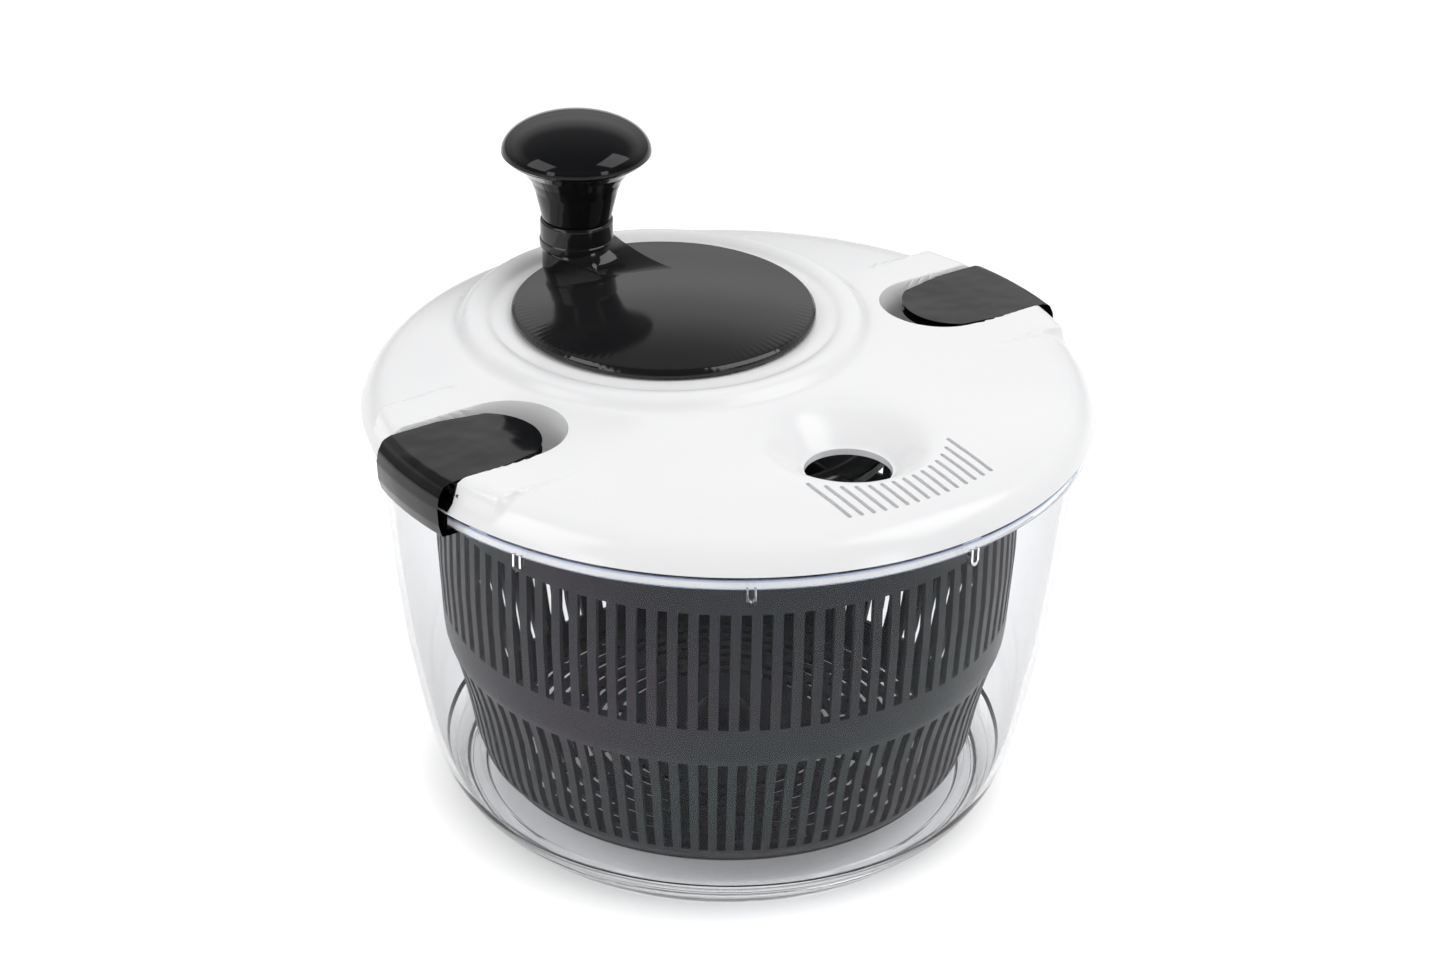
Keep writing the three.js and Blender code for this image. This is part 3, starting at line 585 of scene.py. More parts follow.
def basket():
    """Slotted wall with two bands of slots, slotted floor and the hub that sits on the pivot."""
    angles, in_slot = slot_columns(BASKET_SLOTS, SLOT_SHARE)
    path = BASKET_WALL_PATH
    close = 0.01

    def is_open(i, k):
        low, high = path[i][1], path[i + 1][1]
        in_band = any(a - close <= low and high <= b + close for a, b in (UPPER_SLOTS, LOWER_SLOTS))
        return in_slot[k] and in_band

    def inner(r, z):
        if z < BASKET_LIP:
            return r - BASKET_WALL, z + 0.35
        return BASKET_LIP_INSIDE, min(z, BASKET_TOP)

    wall = perforated(path, angles, is_open, inner)
    hub = turned_data(rounded([
        (5.2, 13.0), (9.5, 10.2, 0.5), (12.4, 10.4, 1), (13, 14, 2), (9, 22, 2), (6, 25, 1),
        (0, 25.2)], closed=False), 48, closed=False)
    return new_object("basket_shell", *joined(wall, basket_floor(), hub), sharp_angle=40)


def basket_floor():
    """Floor with arc slots in rings, split by radial ribs, round a solid centre."""
    radii = [80.0, 77.5, 75.0, 73.0, 70.4, 67.4, 64.8, 61.8, 59.2, 56.2, 53.6, 50.6, 48.0, 45.0,
             42.4, 39.4, 36.8, 24.0, 10.0]
    slot_rings = range(3, 16, 2)
    ribs = 24
    steps = 8
    bottom = BASKET_FLOOR - 1.8
    angles = [2 * math.pi * k / (ribs * steps) for k in range(ribs * steps)]
    path = [(r, bottom) for r in radii]

    def is_open(i, k):
        stagger = (i % 4) * 2
        return i in slot_rings and (k + stagger) % steps not in (0, 1)

    return perforated(path, angles, is_open, lambda r, z: (r, BASKET_FLOOR))


finished(basket(), "basket", BASKET_GREY, "grey_plastic", "basket")


# ---- lid shell ----------------------------------------------------------------------------
def soft_max(a, b, reach):
    """The higher of two surfaces, with the line where they meet rounded over reach."""
    near = np.clip(reach - np.abs(a - b), 0, None) / reach
    return np.maximum(a, b) + near * near * reach / 4


def soft_min(a, b, reach):
    return -soft_max(-a, -b, reach)


dome_height = soft_profile([(0, 157.6), (60, 157.2), (86, 156.55), (100, 155.8), (109, 155.0),
                            (115, 153.6), (118, 151.6), (119.8, 149.6), (121.6, 146.9), (122.7, 144.5),
                            (123.9, 141.8)], 0.8)
platform_height = soft_profile([(0, 159.3), (58.6, 159.3), (60.6, 160.4), (63, 160.95), (66, 161.0),
                                (67.6, 160.3), (69.0, 158.8), (70.2, 157.2), (74, 152.0), (90, 130)], 0.5)
spout_height = soft_profile([(0, 146.3), (14.8, 146.5), (16.8, 148.6), (19.5, 151.0), (23.6, 154.4),
                             (27, 156.5), (31, 158.6), (60, 174)], 0.5)
shoulder_height = soft_profile([(0, 156.2), (117.0, 156.2), (119.2, 155.0), (120.0, 151.5),
                                (121.3, 145), (122.7, 138)], 0.35)
pocket_wall_height = soft_profile([(-3, 172), (0, 157.2), (0.75, 143.2), (1.3, 141.3), (2.4, 140.2),
                                   (4.5, POCKET_FLOOR), (30, POCKET_FLOOR)], 0.15)


def pocket_depth(x, y):
    """Distance inside the outline of the latch pockets, negative outside."""
    past = np.minimum(np.abs(x) - POCKET_CENTRE, 0)
    return POCKET_HALF_WIDTH - np.hypot(past, y)


def lid_height(x, y):
    """Height of the lid's top face: dome, latch shoulders, crank platform, spout, pockets."""
    r = np.hypot(x, y)
    height = dome_height(r)
    side_fall = 2.4 * np.clip(np.abs(y) - SHOULDER_HALF_WIDTH, 0, None)
    inward_fall = 3.0 * np.clip(84 - np.abs(x), 0, None)
    height = soft_max(height, shoulder_height(r) - side_fall - inward_fall, 0.6)
    height = soft_max(height, platform_height(np.hypot(x, y - CRANK_Y)), 1.6)
    height = soft_min(height, spout_height(np.hypot(x, y - SPOUT_Y)), 1.8)
    floor = POCKET_FLOOR + (PASSAGE_FLOOR - POCKET_FLOOR) * np.clip((r - 111.2) / 1.2, 0, 1)
    pocket = np.maximum(pocket_wall_height(pocket_depth(x, y)), floor)
    height = soft_min(height, pocket, 1.6)
    return np.where(r > LID_RADIUS - 0.01, np.minimum(height, LID_EDGE), height)


def ring_points(radius, count, centre=(0.0, 0.0), shift=0.0):
    """Points spread evenly on a circle, turned by a share of their pitch."""
    a = 2 * np.pi * (np.arange(count) + shift) / count
    return np.stack([centre[0] + radius * np.cos(a), centre[1] + radius * np.sin(a)], 1)


RIM_RADII = [122.7, 122.45, 122.1, 121.6, 121.0, 120.4, 119.8, 119.1, 118.3, 117.4, 116.2, 114.8,
             113.0, 111.8, 110.8, 109, 106, 103, 99, 95, 91]
PLATFORM_RADII = [56, 58, 59, 59.8, 60.6, 61.6, 63, 64.6, 66, 66.9, 67.7, 68.4, 69.1, 69.8, 70.5,
                  71.4, 72.6, 74.5]
SPOUT_RADII = [14.8, 15.4, 16.2, 17, 18.2, 19.5, 21.5, 23.6, 25, 26, 26.8, 27.6, 28.6, 30, 32]
POCKET_DEPTHS = [-3, -2.2, -1.6, -1.1, -0.7, -0.3, 0.05, 0.3, 0.5, 0.75, 1.05, 1.4, 1.9, 2.6, 3.6,
                 5.5]
SHOULDER_LINES = [35.4, 36.0, 36.4, 36.8, 37.3, 38, 39, 40.2, 42]
SHOULDER_INNER_END = 84.0


def pocket_contours():
    """Points on lines at set distances from the outline of both latch pockets."""
    points = []
    for depth in POCKET_DEPTHS:
        half = POCKET_HALF_WIDTH - depth
        for angle in np.linspace(math.pi / 2, 1.5 * math.pi, 57):
            points.append((POCKET_CENTRE + half * math.cos(angle), half * math.sin(angle)))
        for radius in RIM_RADII:
            along = math.sqrt(radius ** 2 - half ** 2)
            if along > POCKET_CENTRE + 1:
                points += [(along, half), (along, -half)]
    points = np.array(points)
    return np.concatenate([points, points * (-1, 1)])


def shoulder_lines():
    """Points on lines beside the ends of the raised shoulders round the latches."""
    points = []
    for y in SHOULDER_LINES:
        for radius in RIM_RADII:
            along = math.sqrt(radius ** 2 - y ** 2)
            if along > SHOULDER_INNER_END:
                points += [(sx * along, sy * y) for sx in (1, -1) for sy in (1, -1)]
    return np.array(points)


def vent_outline(index, margin=0.0):
    """One vent: a narrow slot along Y with round ends, its ends on two arcs."""
    x = (index - (VENT_COUNT - 1) / 2) * VENT_PITCH
    half = VENT_WIDTH / 2
    arc_y, arc_radius = VENT_INNER_ARC
    inner = arc_y - math.sqrt(arc_radius ** 2 - x ** 2) - half
    outer = -math.sqrt(VENT_OUTER_ARC ** 2 - x ** 2) + half
    half += margin
    points = [(x + half * math.cos(a), inner + half * math.sin(a)) for a in np.linspace(0, math.pi, 7)]
    points += [(x - half, y) for y in np.linspace(inner, outer, 7)[1:-1]]
    points += [(x + half * math.cos(a), outer + half * math.sin(a))
               for a in np.linspace(math.pi, 2 * math.pi, 7)]
    points += [(x + half, y) for y in np.linspace(outer, inner, 7)[1:-1]]
    return np.array(points)


def near_vent(x, y, shorter, reach):
    """True within reach of a vent's middle line, made shorter at both ends."""
    found = np.zeros(len(x), bool)
    for i in range(VENT_COUNT):
        outline = vent_outline(i)
        middle = outline[:, 0].mean()
        along = np.clip(y, outline[:, 1].min() + shorter, outline[:, 1].max() - shorter)
        found |= np.hypot(x - middle, y - along) < reach
    return found


def lid_points():
    """Points for the lid's top, dense where it bends, and the loops that bound it."""
    platform = [ring_points(r, 160, (0, CRANK_Y)) for r in PLATFORM_RADII]
    spout = [ring_points(r, 72, (0, SPOUT_Y)) for r in SPOUT_RADII]
    groups = [rim_points(), np.concatenate(platform), np.concatenate(spout), fill_points(),
              pocket_floor_points(), pocket_contours(), shoulder_lines()]
    loose = []
    for group in groups:
        x, y = group[:, 0], group[:, 1]
        from_spout = np.hypot(x, y - SPOUT_Y)
        vent_zone = (np.abs(x) < 29.5) & (y < -88.5) & (y > -112) & (from_spout > SPOUT_REACH)
        crowded = vent_zone & near_vent(x, y, 0, VENT_WIDTH / 2 + 0.7)
        loose.append(group[(from_spout > SPOUT_HOLE_RADIUS + 0.1) & ~crowded])
    vent_skirts = [vent_outline(i, 0.45) for i in range(VENT_COUNT)]
    vents = [vent_outline(i) for i in range(VENT_COUNT)]
    spout_loop = ring_points(SPOUT_HOLE_RADIUS, 72, (0, SPOUT_Y))
    return np.concatenate(loose + vent_skirts), [spout_loop] + vents


def rim_points():
    """Rings near the lid's edge, left out at the pockets and at the shoulders' ends."""
    rim = np.concatenate([ring_points(r, 240) for r in RIM_RADII])
    x, y = np.abs(rim[:, 0]), np.abs(rim[:, 1])
    depth = pocket_depth(rim[:, 0], rim[:, 1])
    on_shoulder = (y > 34.6) & (y < 42.8) & (x > SHOULDER_INNER_END)
    return rim[((depth < -3.4) | (depth > 6)) & ~on_shoulder]


def fill_points():
    """Wide-spaced rings over the smooth part of the dome."""
    rings = [ring_points(r, max(8, int(r * 1.5)), shift=0.5 * (i % 2))
             for i, r in enumerate(np.arange(3.0, 90, 4.0))]
    fill = np.concatenate(rings)
    x, y = fill[:, 0], fill[:, 1]
    from_crank = np.hypot(x, y - CRANK_Y)
    from_spout = np.hypot(x, y - SPOUT_Y)
    depth = pocket_depth(x, y)
    off_platform = (from_crank < 54) | (from_crank > 76)
    return fill[(from_spout > SPOUT_REACH + 1) & off_platform & ((depth < -5) | (depth > 7))]


def pocket_floor_points():
    return np.array([(side * x, y) for side in (1, -1) for x in (80, 86, 92, 98, 104, 109)
                     for y in (-8, 0, 8)])


def lid_sheet():
    """The lid's top and under points, a wall's thickness apart, and the triangles of its top."""
    loose, loops = lid_points()
    points = list(map(tuple, loose))
    edges = []
    for loop in loops:
        start = len(points)
        points += list(map(tuple, loop))
        edges += [(start + k, start + (k + 1) % len(loop)) for k in range(len(loop))]
    flat, _, triangles, *_ = delaunay_2d_cdt([Vector(p) for p in points], edges, [], 0, 1e-5)
    flat = np.array([(p.x, p.y) for p in flat])
    triangles = np.array([t for t in triangles if len(t) == 3])
    middle = flat[triangles].mean(1)
    hole = np.hypot(middle[:, 0], middle[:, 1] - SPOUT_Y) < SPOUT_HOLE_RADIUS * 0.999
    hole |= near_vent(middle[:, 0], middle[:, 1], VENT_WIDTH / 2, VENT_WIDTH / 2 * 0.985)
    triangles = triangles[~hole]
    used = np.unique(triangles)
    renumber = np.full(len(flat), -1)
    renumber[used] = np.arange(len(used))
    flat, triangles = flat[used], renumber[triangles]
    a, b, c = (flat[triangles[:, k]] for k in range(3))
    turn = (b[:, 0] - a[:, 0]) * (c[:, 1] - a[:, 1]) - (b[:, 1] - a[:, 1]) * (c[:, 0] - a[:, 0])
    triangles = triangles[np.abs(turn) > 1e-7]
    turn = turn[np.abs(turn) > 1e-7]
    triangles[turn < 0] = triangles[turn < 0][:, ::-1]
    x, y = flat[:, 0], flat[:, 1]
    top = np.stack([x, y, lid_height(x, y)], 1)
    r = np.hypot(x, y)
    outward = np.stack([x, y, np.zeros(len(x))], 1) / np.maximum(r, 1)[:, None]
    rim_share = np.clip((r - 112) / (LID_RADIUS - 112), 0, 1)[:, None]
    under = top - np.array([0, 0, LID_WALL]) * (1 - rim_share) - outward * LID_WALL * rim_share
    return top, under, triangles


def lid():
    """The moulded lid: the sheet closed along its edges, the skirt and the crank's bore wall."""
    top, under, triangles = lid_sheet()
    count = len(top)
    faces = [tuple(t) for t in triangles] + [tuple(t[::-1] + count) for t in triangles]
    edges = [(t[k], t[(k + 1) % 3]) for t in triangles for k in range(3)]
    known = set(edges)
    for a, b in edges:
        if (b, a) not in known:
            faces.append((b, a, a + count, b + count))
    vertices = list(map(tuple, top)) + list(map(tuple, under))
    skirt = turned_data(rounded([
        (SKIRT_RADIUS - 2.2, SKIRT_BOTTOM, 0.6), (SKIRT_RADIUS, SKIRT_BOTTOM, 0.8),
        (SKIRT_RADIUS, 149), (SKIRT_RADIUS - 2.2, 149)]), 160)
    bore_wall = turned_data(rounded([
        (6.6, 150), (10.4, 150, 0.6), (10.4, 158.4), (6.6, 158.4)]), 48)
    return new_object("lid_shell_moulded", *joined((vertices, faces), skirt, bore_wall), sharp_angle=60)


finished(lid(), "lid", WHITE, "white_plastic", "lid_shell")


# ---- basket driver ------------------------------------------------------------------------
def driver():
    """The wheel under the lid that turns the basket: hub, plate, ridge, spokes, ring and dogs."""
    hub = turned_data(rounded([
        (5.8, DRIVER_BOTTOM - 1, 0.5), (12, DRIVER_BOTTOM - 1, 1), (13, DRIVER_TOP, 2),
        (9.5, 141.4, 1), (5.8, 141.4, 0.4)]), 64)
    ring = turned_data(rounded([
        (89, DRIVER_BOTTOM + 2.2, 0.7), (101, DRIVER_BOTTOM + 2.2, 0.7),
        (101, DRIVER_BOTTOM + 4.2, 0.7), (92.5, DRIVER_TOP, 1), (89, DRIVER_TOP, 0.7)]), 160)
    plate = turned_data([(12, DRIVER_BOTTOM + 0.6), (50, DRIVER_BOTTOM + 0.6),
                         (50, DRIVER_BOTTOM + 2.8), (12, DRIVER_BOTTOM + 2.8)], 96)
    ridge = turned_data(rounded([
        (48, DRIVER_BOTTOM + 0.2, 0.5), (57, DRIVER_BOTTOM + 0.2, 0.5), (57, DRIVER_TOP - 2.2, 2),
        (55.4, DRIVER_TOP + 0.8, 2), (52.5, DRIVER_TOP + 1.7, 2), (49.6, DRIVER_TOP + 0.8, 2),
        (48, DRIVER_TOP - 2.2, 2)]), 160)
    parts = [hub, plate, ridge, ring]
    vertices, faces = spoke_data()
    for k in range(SPOKE_COUNT):
        parts.append((turned_by(vertices, SPOKE_TURN + 360 * k / SPOKE_COUNT), faces))
    dog_vertices, dog_faces = box_data((96.7, 100.3), (-2.9, 2.9), (BASKET_TOP - 3.5, BASKET_TOP + 1.6))
    for k in range(DOG_COUNT):
        parts.append((turned_by(dog_vertices, 360 * k / DOG_COUNT), dog_faces))
    return new_object("driver_wheel", *joined(*parts), sharp_angle=40)


def spoke_data():
    """A spoke along +Y with a rounded back."""
    section = rounded([
        (-4.5, DRIVER_BOTTOM + 0.1, 0.8), (4.5, DRIVER_BOTTOM + 0.1, 0.8),
        (4.4, DRIVER_TOP - 2.2, 2.4), (0, DRIVER_TOP + 0.4, 3.0), (-4.4, DRIVER_TOP - 2.2, 2.4)])
    count = len(section)
    vertices = [(x, y, z) for y in (9.0, 90.2) for x, z in section]
    faces = [(k, (k + 1) % count, (k + 1) % count + count, k + count) for k in range(count)]
    faces += [tuple(reversed(range(count))), tuple(range(count, 2 * count))]
    return vertices, faces


finished(driver(), "driver", DRIVER_BLACK, "black_plastic", "basket_driver")


# ---- crank --------------------------------------------------------------------------------
def disc_height(x, y):
    """Height of the disc's domed top."""
    return DISC_TOP + DOME_RISE * (1 - (x * x + y * y) / DOME_RADIUS ** 2)


def fairing_foot(share):
    """Where the fairing ends: a straight line across the disc, then a lip round the boss."""
    if share <= FOOT_LINE_SHARE:
        run = share / FOOT_LINE_SHARE
        x, y = (a + (b - a) * run for a, b in zip(FOOT_RIGHT, FOOT_LEFT))
        return x, y, disc_height(x, y) - FOOT_SINK
    run = (share - FOOT_LINE_SHARE) / (1 - FOOT_LINE_SHARE)
    angle = math.radians(FOOT_TURN + (FAIRING_END - FOOT_TURN) * run)
    lip_radius = BOSS_RADIUS + 0.2
    reach = math.hypot(FOOT_LEFT[0], FOOT_LEFT[1] - KNOB_OFFSET)
    radius = lip_radius + (reach - lip_radius) * (1 - run) ** 3.5
    low = disc_height(*FOOT_LEFT) - FOOT_SINK
    return (radius * math.cos(angle), KNOB_OFFSET + radius * math.sin(angle),
            low + (LIP_TOP - low) * run ** 0.55)


def fairing_data():
    """Fairing from the knob boss down to the disc, leaning to one side. Its top runs from the
    step round the boss to the foot along a curve that is more hollow towards the left."""
    across, along = 64, 20
    vertices = []
    for i in range(across + 1):
        share = i / across
        angle = math.radians(FAIRING_START + (FAIRING_END - FAIRING_START) * share)
        top = BOSS_STEP - 0.1 - 2.4 * max(0.0, (share - 0.45) / 0.55) ** 1.4
        fall = 2.0 + 1.8 * min(1.0, share / FOOT_LINE_SHARE)
        foot_x, foot_y, foot_z = fairing_foot(share)
        start_radius = BOSS_RADIUS - 0.5
        start_x = start_radius * math.cos(angle)
        start_y = KNOB_OFFSET + start_radius * math.sin(angle)
        for k in range(along + 1):
            run = k / along
            vertices.append((start_x + (foot_x - start_x) * run, start_y + (foot_y - start_y) * run,
                             foot_z + (top - foot_z) * (1 - run) ** fall))
    under = len(vertices)
    vertices += [(x, y, DISC_TOP - 0.4) for x, y, z in vertices]
    row = along + 1
    faces = []
    for i in range(across):
        for k in range(along):
            a, b, c, d = i * row + k, (i + 1) * row + k, (i + 1) * row + k + 1, i * row + k + 1
            faces.append((a, b, c, d))
            faces.append((d + under, c + under, b + under, a + under))
        a, b = i * row, (i + 1) * row
        faces.append((b, a, a + under, b + under))
        faces.append((a + along, b + along, b + along + under, a + along + under))
    for k in range(along):
        faces.append((k, k + 1, k + 1 + under, k + under))
        last = across * row + k
        faces.append((last + 1, last, last + under, last + 1 + under))
    return vertices, faces


def crank():
    """Domed disc, hollow underneath, with the knob boss, the fairing beside it and the shaft."""
    dome = [(r, disc_height(r, 0)) for r in np.linspace(49.4, 0, 34)]
    disc = turned_data(rounded([
        (6, DISC_BOTTOM), (9, DISC_BOTTOM, 0.3), (9, DISC_TOP - 0.8, 0.5), (40, DISC_TOP - 0.8, 0.5),
        (40, DISC_BOTTOM, 0.3), (DISC_RADIUS - 0.8, DISC_BOTTOM, 0.3),
        (DISC_RADIUS, DISC_BOTTOM + 0.9, 0.5), (DISC_RADIUS - 0.3, DISC_TOP - 1.2, 0.4),
        (DISC_RADIUS - 1.3, DISC_TOP - 0.15, 0.8), *dome], closed=False), 240, closed=False)
    boss = turned_data(rounded([
        (0, DISC_TOP - 0.5), (BOSS_RADIUS - 0.9, DISC_TOP - 0.5),
        (BOSS_RADIUS - 0.9, BOSS_STEP - 3.4, 0.3), (BOSS_RADIUS, BOSS_STEP - 2.6, 0.5),
        (BOSS_RADIUS, BOSS_STEP - 0.2, 0.3), (BOSS_RADIUS - 0.35, BOSS_STEP + 0.2, 0.2),
        (BOSS_RADIUS - 0.2, BOSS_TOP, 1.3), (0, BOSS_TOP)], closed=False), 96, (0, KNOB_OFFSET), False)
    shaft = turned_data(rounded([(0, 154.8), (6.4, 154.8, 0.4), (6.4, DISC_BOTTOM + 0.2),
                                 (0, DISC_BOTTOM + 0.2)], closed=False), 48, closed=False)
    square = box_data((-5, 5), (-5, 5), (148.3, 155))
    return new_object("crank_disc", *joined(disc, boss, fairing_data(), shaft, square), sharp_angle=32)


finished(at_crank(crank()), "crank", DISC_BLACK, "black_gloss", "crank")


# ---- knob ---------------------------------------------------------------------------------
def knob_stem():
    return turned("knob_stem", [
        (4, BOSS_TOP + 0.3), (12.0, BOSS_TOP + 0.3, 0.5), (12.3, BOSS_TOP + 1.5, 1), (13.0, 185.5, 2),
        (13.6, 188, 4), (14.5, 192, 6), (16.2, 196, 6), (19.2, 200, 6), (23.2, CAP_SEAM - 0.7, 3),
        (KNOB_RADIUS - 0.9, CAP_SEAM, 0.3), (9.5, CAP_SEAM), (8, CAP_SEAM - 8), (4, CAP_SEAM - 8),
    ], 128, (0, KNOB_OFFSET))


def knob_dome():
    """The cap over the stem, its top a quarter of an ellipse turned about the spindle."""
    low = CAP_SEAM + 0.3
    rise = KNOB_TOP - KNOB_WIDEST
    dome = [(KNOB_RADIUS * math.cos(a), KNOB_WIDEST + rise * math.sin(a))
            for a in np.linspace(0, math.pi / 2, 25)]
    dome[-1] = (0, KNOB_TOP)
    return turned("knob_dome", [
        (0, low + 2.4), (9.2, low + 2.4), (9.2, low, 0.3), (KNOB_RADIUS - 0.9, low, 0.4), *dome,
    ], 128, (0, KNOB_OFFSET), False)


finished(at_crank(knob_stem()), "knob", BLACK, "black_gloss", "knob_grip")
finished(at_crank(knob_dome()), "knob", BLACK, "black_gloss", "knob_cap")


# ---- latches ------------------------------------------------------------------------------
def latch():
    """Right-hand latch: a turned section cut to the tongue's outline, edges rounded over."""
    section = rounded([
        (118.4, 136.6, 0.6), (124.4, 136.6, 1.0), (125.6, 141, 5), (126, 147, 6), (125.4, 150.8, 4),
        (123.6, 154.2, 3), (120.5, LATCH_TOP, 4), (100, LATCH_TOP, 8), (60, LATCH_TOP - 0.3),
        (60, LATCH_TOP - 3.2), (104, LATCH_TOP - 3.8, 4), (113.2, 147.3, 1), (120.4, 147.3, 1),
        (122.3, 145.4, 1), (122.5, 138.6, 0.5), (118.4, 138.6, 0.5)], steps=6)
    steps = 84
    count = len(section)
    vertices, faces = [], []
    for i in range(steps + 1):
        a = math.radians(LATCH_SWEEP * (2 * i / steps - 1))
        vertices += [(r * math.cos(a), r * math.sin(a), z) for r, z in section]
    for i in range(steps):
        for k in range(count):
            n = (k + 1) % count
            faces.append((i * count + k, i * count + n, (i + 1) * count + n, (i + 1) * count + k))
    faces += [tuple(range(count)), tuple(reversed(range(steps * count, (steps + 1) * count)))]
    body = new_object("latch_plate_right", vertices, faces)
    outline = [(132, -LATCH_HALF_WIDTH), (132, LATCH_HALF_WIDTH)]
    outline += [(LATCH_END + LATCH_HALF_WIDTH * math.cos(a), LATCH_HALF_WIDTH * math.sin(a))
                for a in np.linspace(math.pi / 2, 1.5 * math.pi, 49)]
    tongue = new_object("tongue", *prism_data(outline, 130, 165))
    boolean(body, tongue, "INTERSECT")
    window = new_object("window", *box_data((LATCH_PIN_X - 6, LATCH_PIN_X + 3.4), (-7.5, 7.5),
                                            (140, LATCH_PIN_Z + 2.4)))
    boolean(body, window, "DIFFERENCE")
    bevel(body, 0.7)
    return body


def mirrored_copy(obj, name):
    """The same mesh on the other side of the plane X = 0."""
    other = obj.copy()
    other.data = obj.data.copy()
    other.name = name
    other.data.name = name
    other.data.transform(Matrix.Diagonal((-1, 1, 1, 1)))
    other.data.flip_normals()
    bpy.context.scene.collection.objects.link(other)
    return other


latch_right = latch()
latch_left = mirrored_copy(latch_right, "latch_plate_left")
finished(latch_right, "latch_right", LATCH_BLACK, "black_gloss", "latch_right")
finished(latch_left, "latch_left", LATCH_BLACK, "black_gloss", "latch_left")


# ---- materials of the CAD nodes that stay -------------------------------------------------
CAD_MATERIALS = {
    "gear_cover": WHITE, "drive_gear": ACETAL, "crank_gear": ACETAL, "crank_bushing": ACETAL,
    "knob_spindle": ZINC, "crank_washer": ZINC, "crank_screw": ZINC, "driver_washer": ZINC,
    "driver_screw": ZINC, "latch_pin_right": ZINC, "latch_pin_left": ZINC,
    "latch_spring_right": ZINC, "latch_spring_left": ZINC,
    "cover_screw_1": ZINC, "cover_screw_2": ZINC, "cover_screw_3": ZINC, "cover_screw_4": ZINC,
}
for node_name, node_material in CAD_MATERIALS.items():
    for material_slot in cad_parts[node_name].material_slots:
        material_slot.material = node_material


# ---- floor, light and camera --------------------------------------------------------------
VIEW_AZIMUTH = math.radians(-35.3)
VIEW_ELEVATION = math.radians(28.27)
VIEW_ROLL = math.radians(1.04)
VIEW_DISTANCE = 1.220
VIEW_TARGET = Vector((-0.00132, 0.00094, 0.11186))
SENSOR_WIDTH = 36.0
LENS_LENGTH = 89.6886

# Floor glow, painted light: raised beside the bowl over its cast shadow, lower under the bowl.
GLOW_UNDER_BOWL = 0.18
SHADOW_FILL_GLOW = 0.62
SHADOW_FILL_RISE = (0.086, 0.107)
FAR_LOSS = 0.12
FAR_ZONE = (0.20, 0.45)

WALL_BANDS = [(0.18, 0.55), (0.40, 0.92), (0.50, 0.80), (0.68, 0.26)]
CEILING_SHADE = 0.16
BEHIND_OBJECT = (0.50, 0.87, 0)
LIGHT_AIM = Vector((0, 0, 0.12))


def floor():
    """A white floor that glows as painted light: most in a ring beside the bowl, to wash out the
    bowl's cast shadow, less under the bowl, where its shade is left, and a little less far off,
    so that it fades into the wall.
    """
    mesh = bpy.data.meshes.new("floor")
    half = 6.0
    mesh.from_pydata([(-half, -half, 0), (half, -half, 0), (half, half, 0), (-half, half, 0)], [],
                     [(0, 1, 2, 3)])
    obj = bpy.data.objects.new("floor", mesh)
    obj.location.z = -0.0002
    bpy.context.scene.collection.objects.link(obj)
    n = Nodes("floor_white", Base_Color=(0.8, 0.8, 0.8, 1), Roughness=0.5, Specular_IOR_Level=0.1,
              Emission_Color=(1, 1, 1, 1))
    distance = n.add("ShaderNodeVectorMath", operation="LENGTH")
    n.link(n.place, distance.inputs[0])
    # Painted light: a ring of glow beside the bowl that washes out its cast shadow.
    beside = n.spread(distance.outputs["Value"], GLOW_UNDER_BOWL, SHADOW_FILL_GLOW, *SHADOW_FILL_RISE)
    far = n.spread(distance.outputs["Value"], 0.0, -FAR_LOSS, *FAR_ZONE)
    n.link(n.math("ADD", beside, far), n.shader.inputs["Emission Strength"])
    mesh.materials.append(n.material)


def towards(azimuth, elevation):
    """Unit vector from the object; azimuth 0 is -Y and grows towards +X. Radians."""
    return Vector((math.sin(azimuth) * math.cos(elevation),
                   -math.cos(azimuth) * math.cos(elevation), math.sin(elevation)))


def softbox(name, direction, distance, size, power, mirrored=True):
    """Area light that faces the object. direction is (azimuth, elevation) as seen from it;
    mirrored says whether glossy surfaces show it."""
    away = towards(*map(math.radians, direction))
    light = bpy.data.lights.new(name, "AREA")
    light.shape = "RECTANGLE"
    light.size, light.size_y = size
    light.energy = power
    obj = bpy.data.objects.new(name, light)
    obj.location = LIGHT_AIM + away * distance
    obj.rotation_mode = "QUATERNION"
    obj.rotation_quaternion = away.to_track_quat("Z", "Y")
    obj.visible_glossy = mirrored
    bpy.context.scene.collection.objects.link(obj)


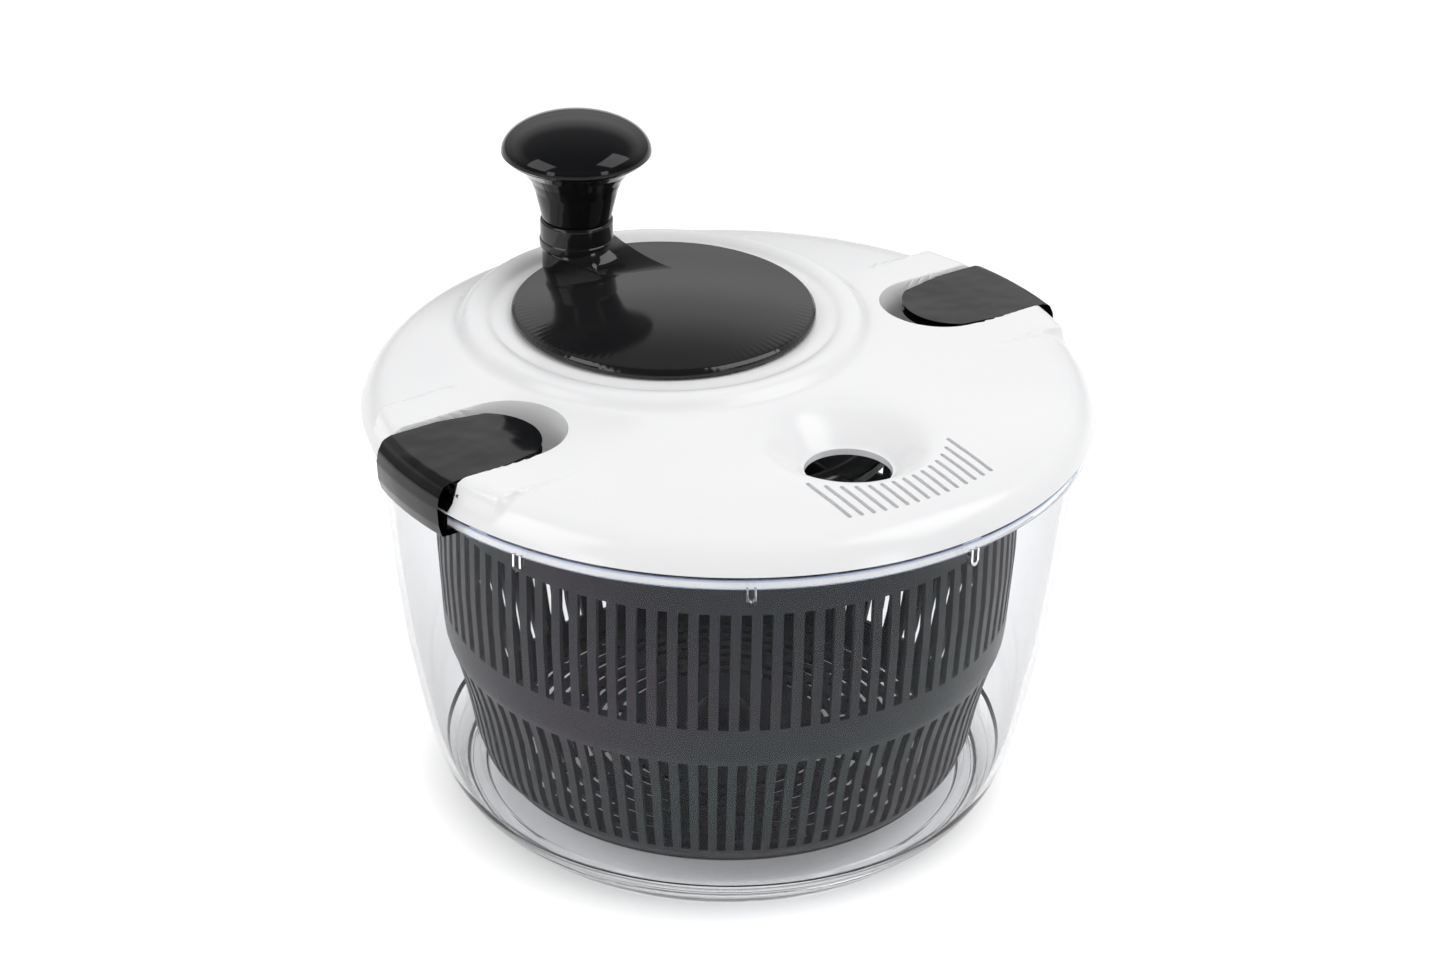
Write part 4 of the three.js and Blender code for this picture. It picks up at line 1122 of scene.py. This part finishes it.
def surroundings():
    """A pale band of wall above the horizon and a dim ceiling, darker on the side the object is
    seen from."""
    world = bpy.data.worlds.new("studio")
    bpy.context.scene.world = world
    world.use_nodes = True
    tree = world.node_tree
    background = tree.nodes["Background"]
    place = tree.nodes.new("ShaderNodeTexCoord")
    apart = tree.nodes.new("ShaderNodeSeparateXYZ")
    tree.links.new(place.outputs["Generated"], apart.inputs[0])
    ramp = tree.nodes.new("ShaderNodeValToRGB")
    ramp.color_ramp.interpolation = "EASE"
    bands = ramp.color_ramp.elements
    bands[0].color = (0.30, 0.30, 0.31, 1)
    bands[1].color = (CEILING_SHADE, CEILING_SHADE, CEILING_SHADE * 1.01, 1)
    for height, shade in WALL_BANDS:
        bands.new(height).color = (shade, shade, shade * 1.01, 1)
    tree.links.new(apart.outputs["Z"], ramp.inputs["Fac"])
    tree.links.new(ramp.outputs["Color"], background.inputs["Color"])
    behind = tree.nodes.new("ShaderNodeVectorMath")
    behind.operation = "DOT_PRODUCT"
    behind.inputs[1].default_value = BEHIND_OBJECT
    tree.links.new(place.outputs["Generated"], behind.inputs[0])
    strength = tree.nodes.new("ShaderNodeMapRange")
    strength.inputs["From Min"].default_value = -0.25
    strength.inputs["From Max"].default_value = 0.45
    strength.inputs["To Min"].default_value = 0.12
    tree.links.new(behind.outputs["Value"], strength.inputs["Value"])
    tree.links.new(strength.outputs["Result"], background.inputs["Strength"])


def camera():
    data = bpy.data.cameras.new("camera")
    data.sensor_width = SENSOR_WIDTH
    data.lens = LENS_LENGTH
    data.clip_start, data.clip_end = 0.05, 50
    obj = bpy.data.objects.new("camera", data)
    back = towards(VIEW_AZIMUTH, VIEW_ELEVATION)
    level_right = Vector((math.cos(VIEW_AZIMUTH), math.sin(VIEW_AZIMUTH), 0))
    level_up = back.cross(level_right)
    right = math.cos(VIEW_ROLL) * level_right + math.sin(VIEW_ROLL) * level_up
    up = back.cross(right)
    turn = Matrix((right, up, back)).transposed()
    obj.matrix_world = Matrix.Translation(VIEW_TARGET + back * VIEW_DISTANCE) @ turn.to_4x4()
    bpy.context.scene.collection.objects.link(obj)
    bpy.context.scene.camera = obj


floor()
surroundings()
softbox("overhead", (15, 78), 1.6, (1.7, 1.7), 14.3, mirrored=False)
softbox("window_left", (-100, 36), 1.3, (0.72, 0.80), 5.4)
softbox("window_right", (48, 50), 1.3, (0.85, 0.70), 5.8)
softbox("strip_left", (-75, 12), 1.1, (0.22, 0.42), 1.0)
softbox("strip_right", (10, 14), 1.1, (0.22, 0.42), 1.0)
camera()
bpy.context.scene.view_settings.view_transform = "Standard"
bpy.context.scene.view_settings.look = "None"
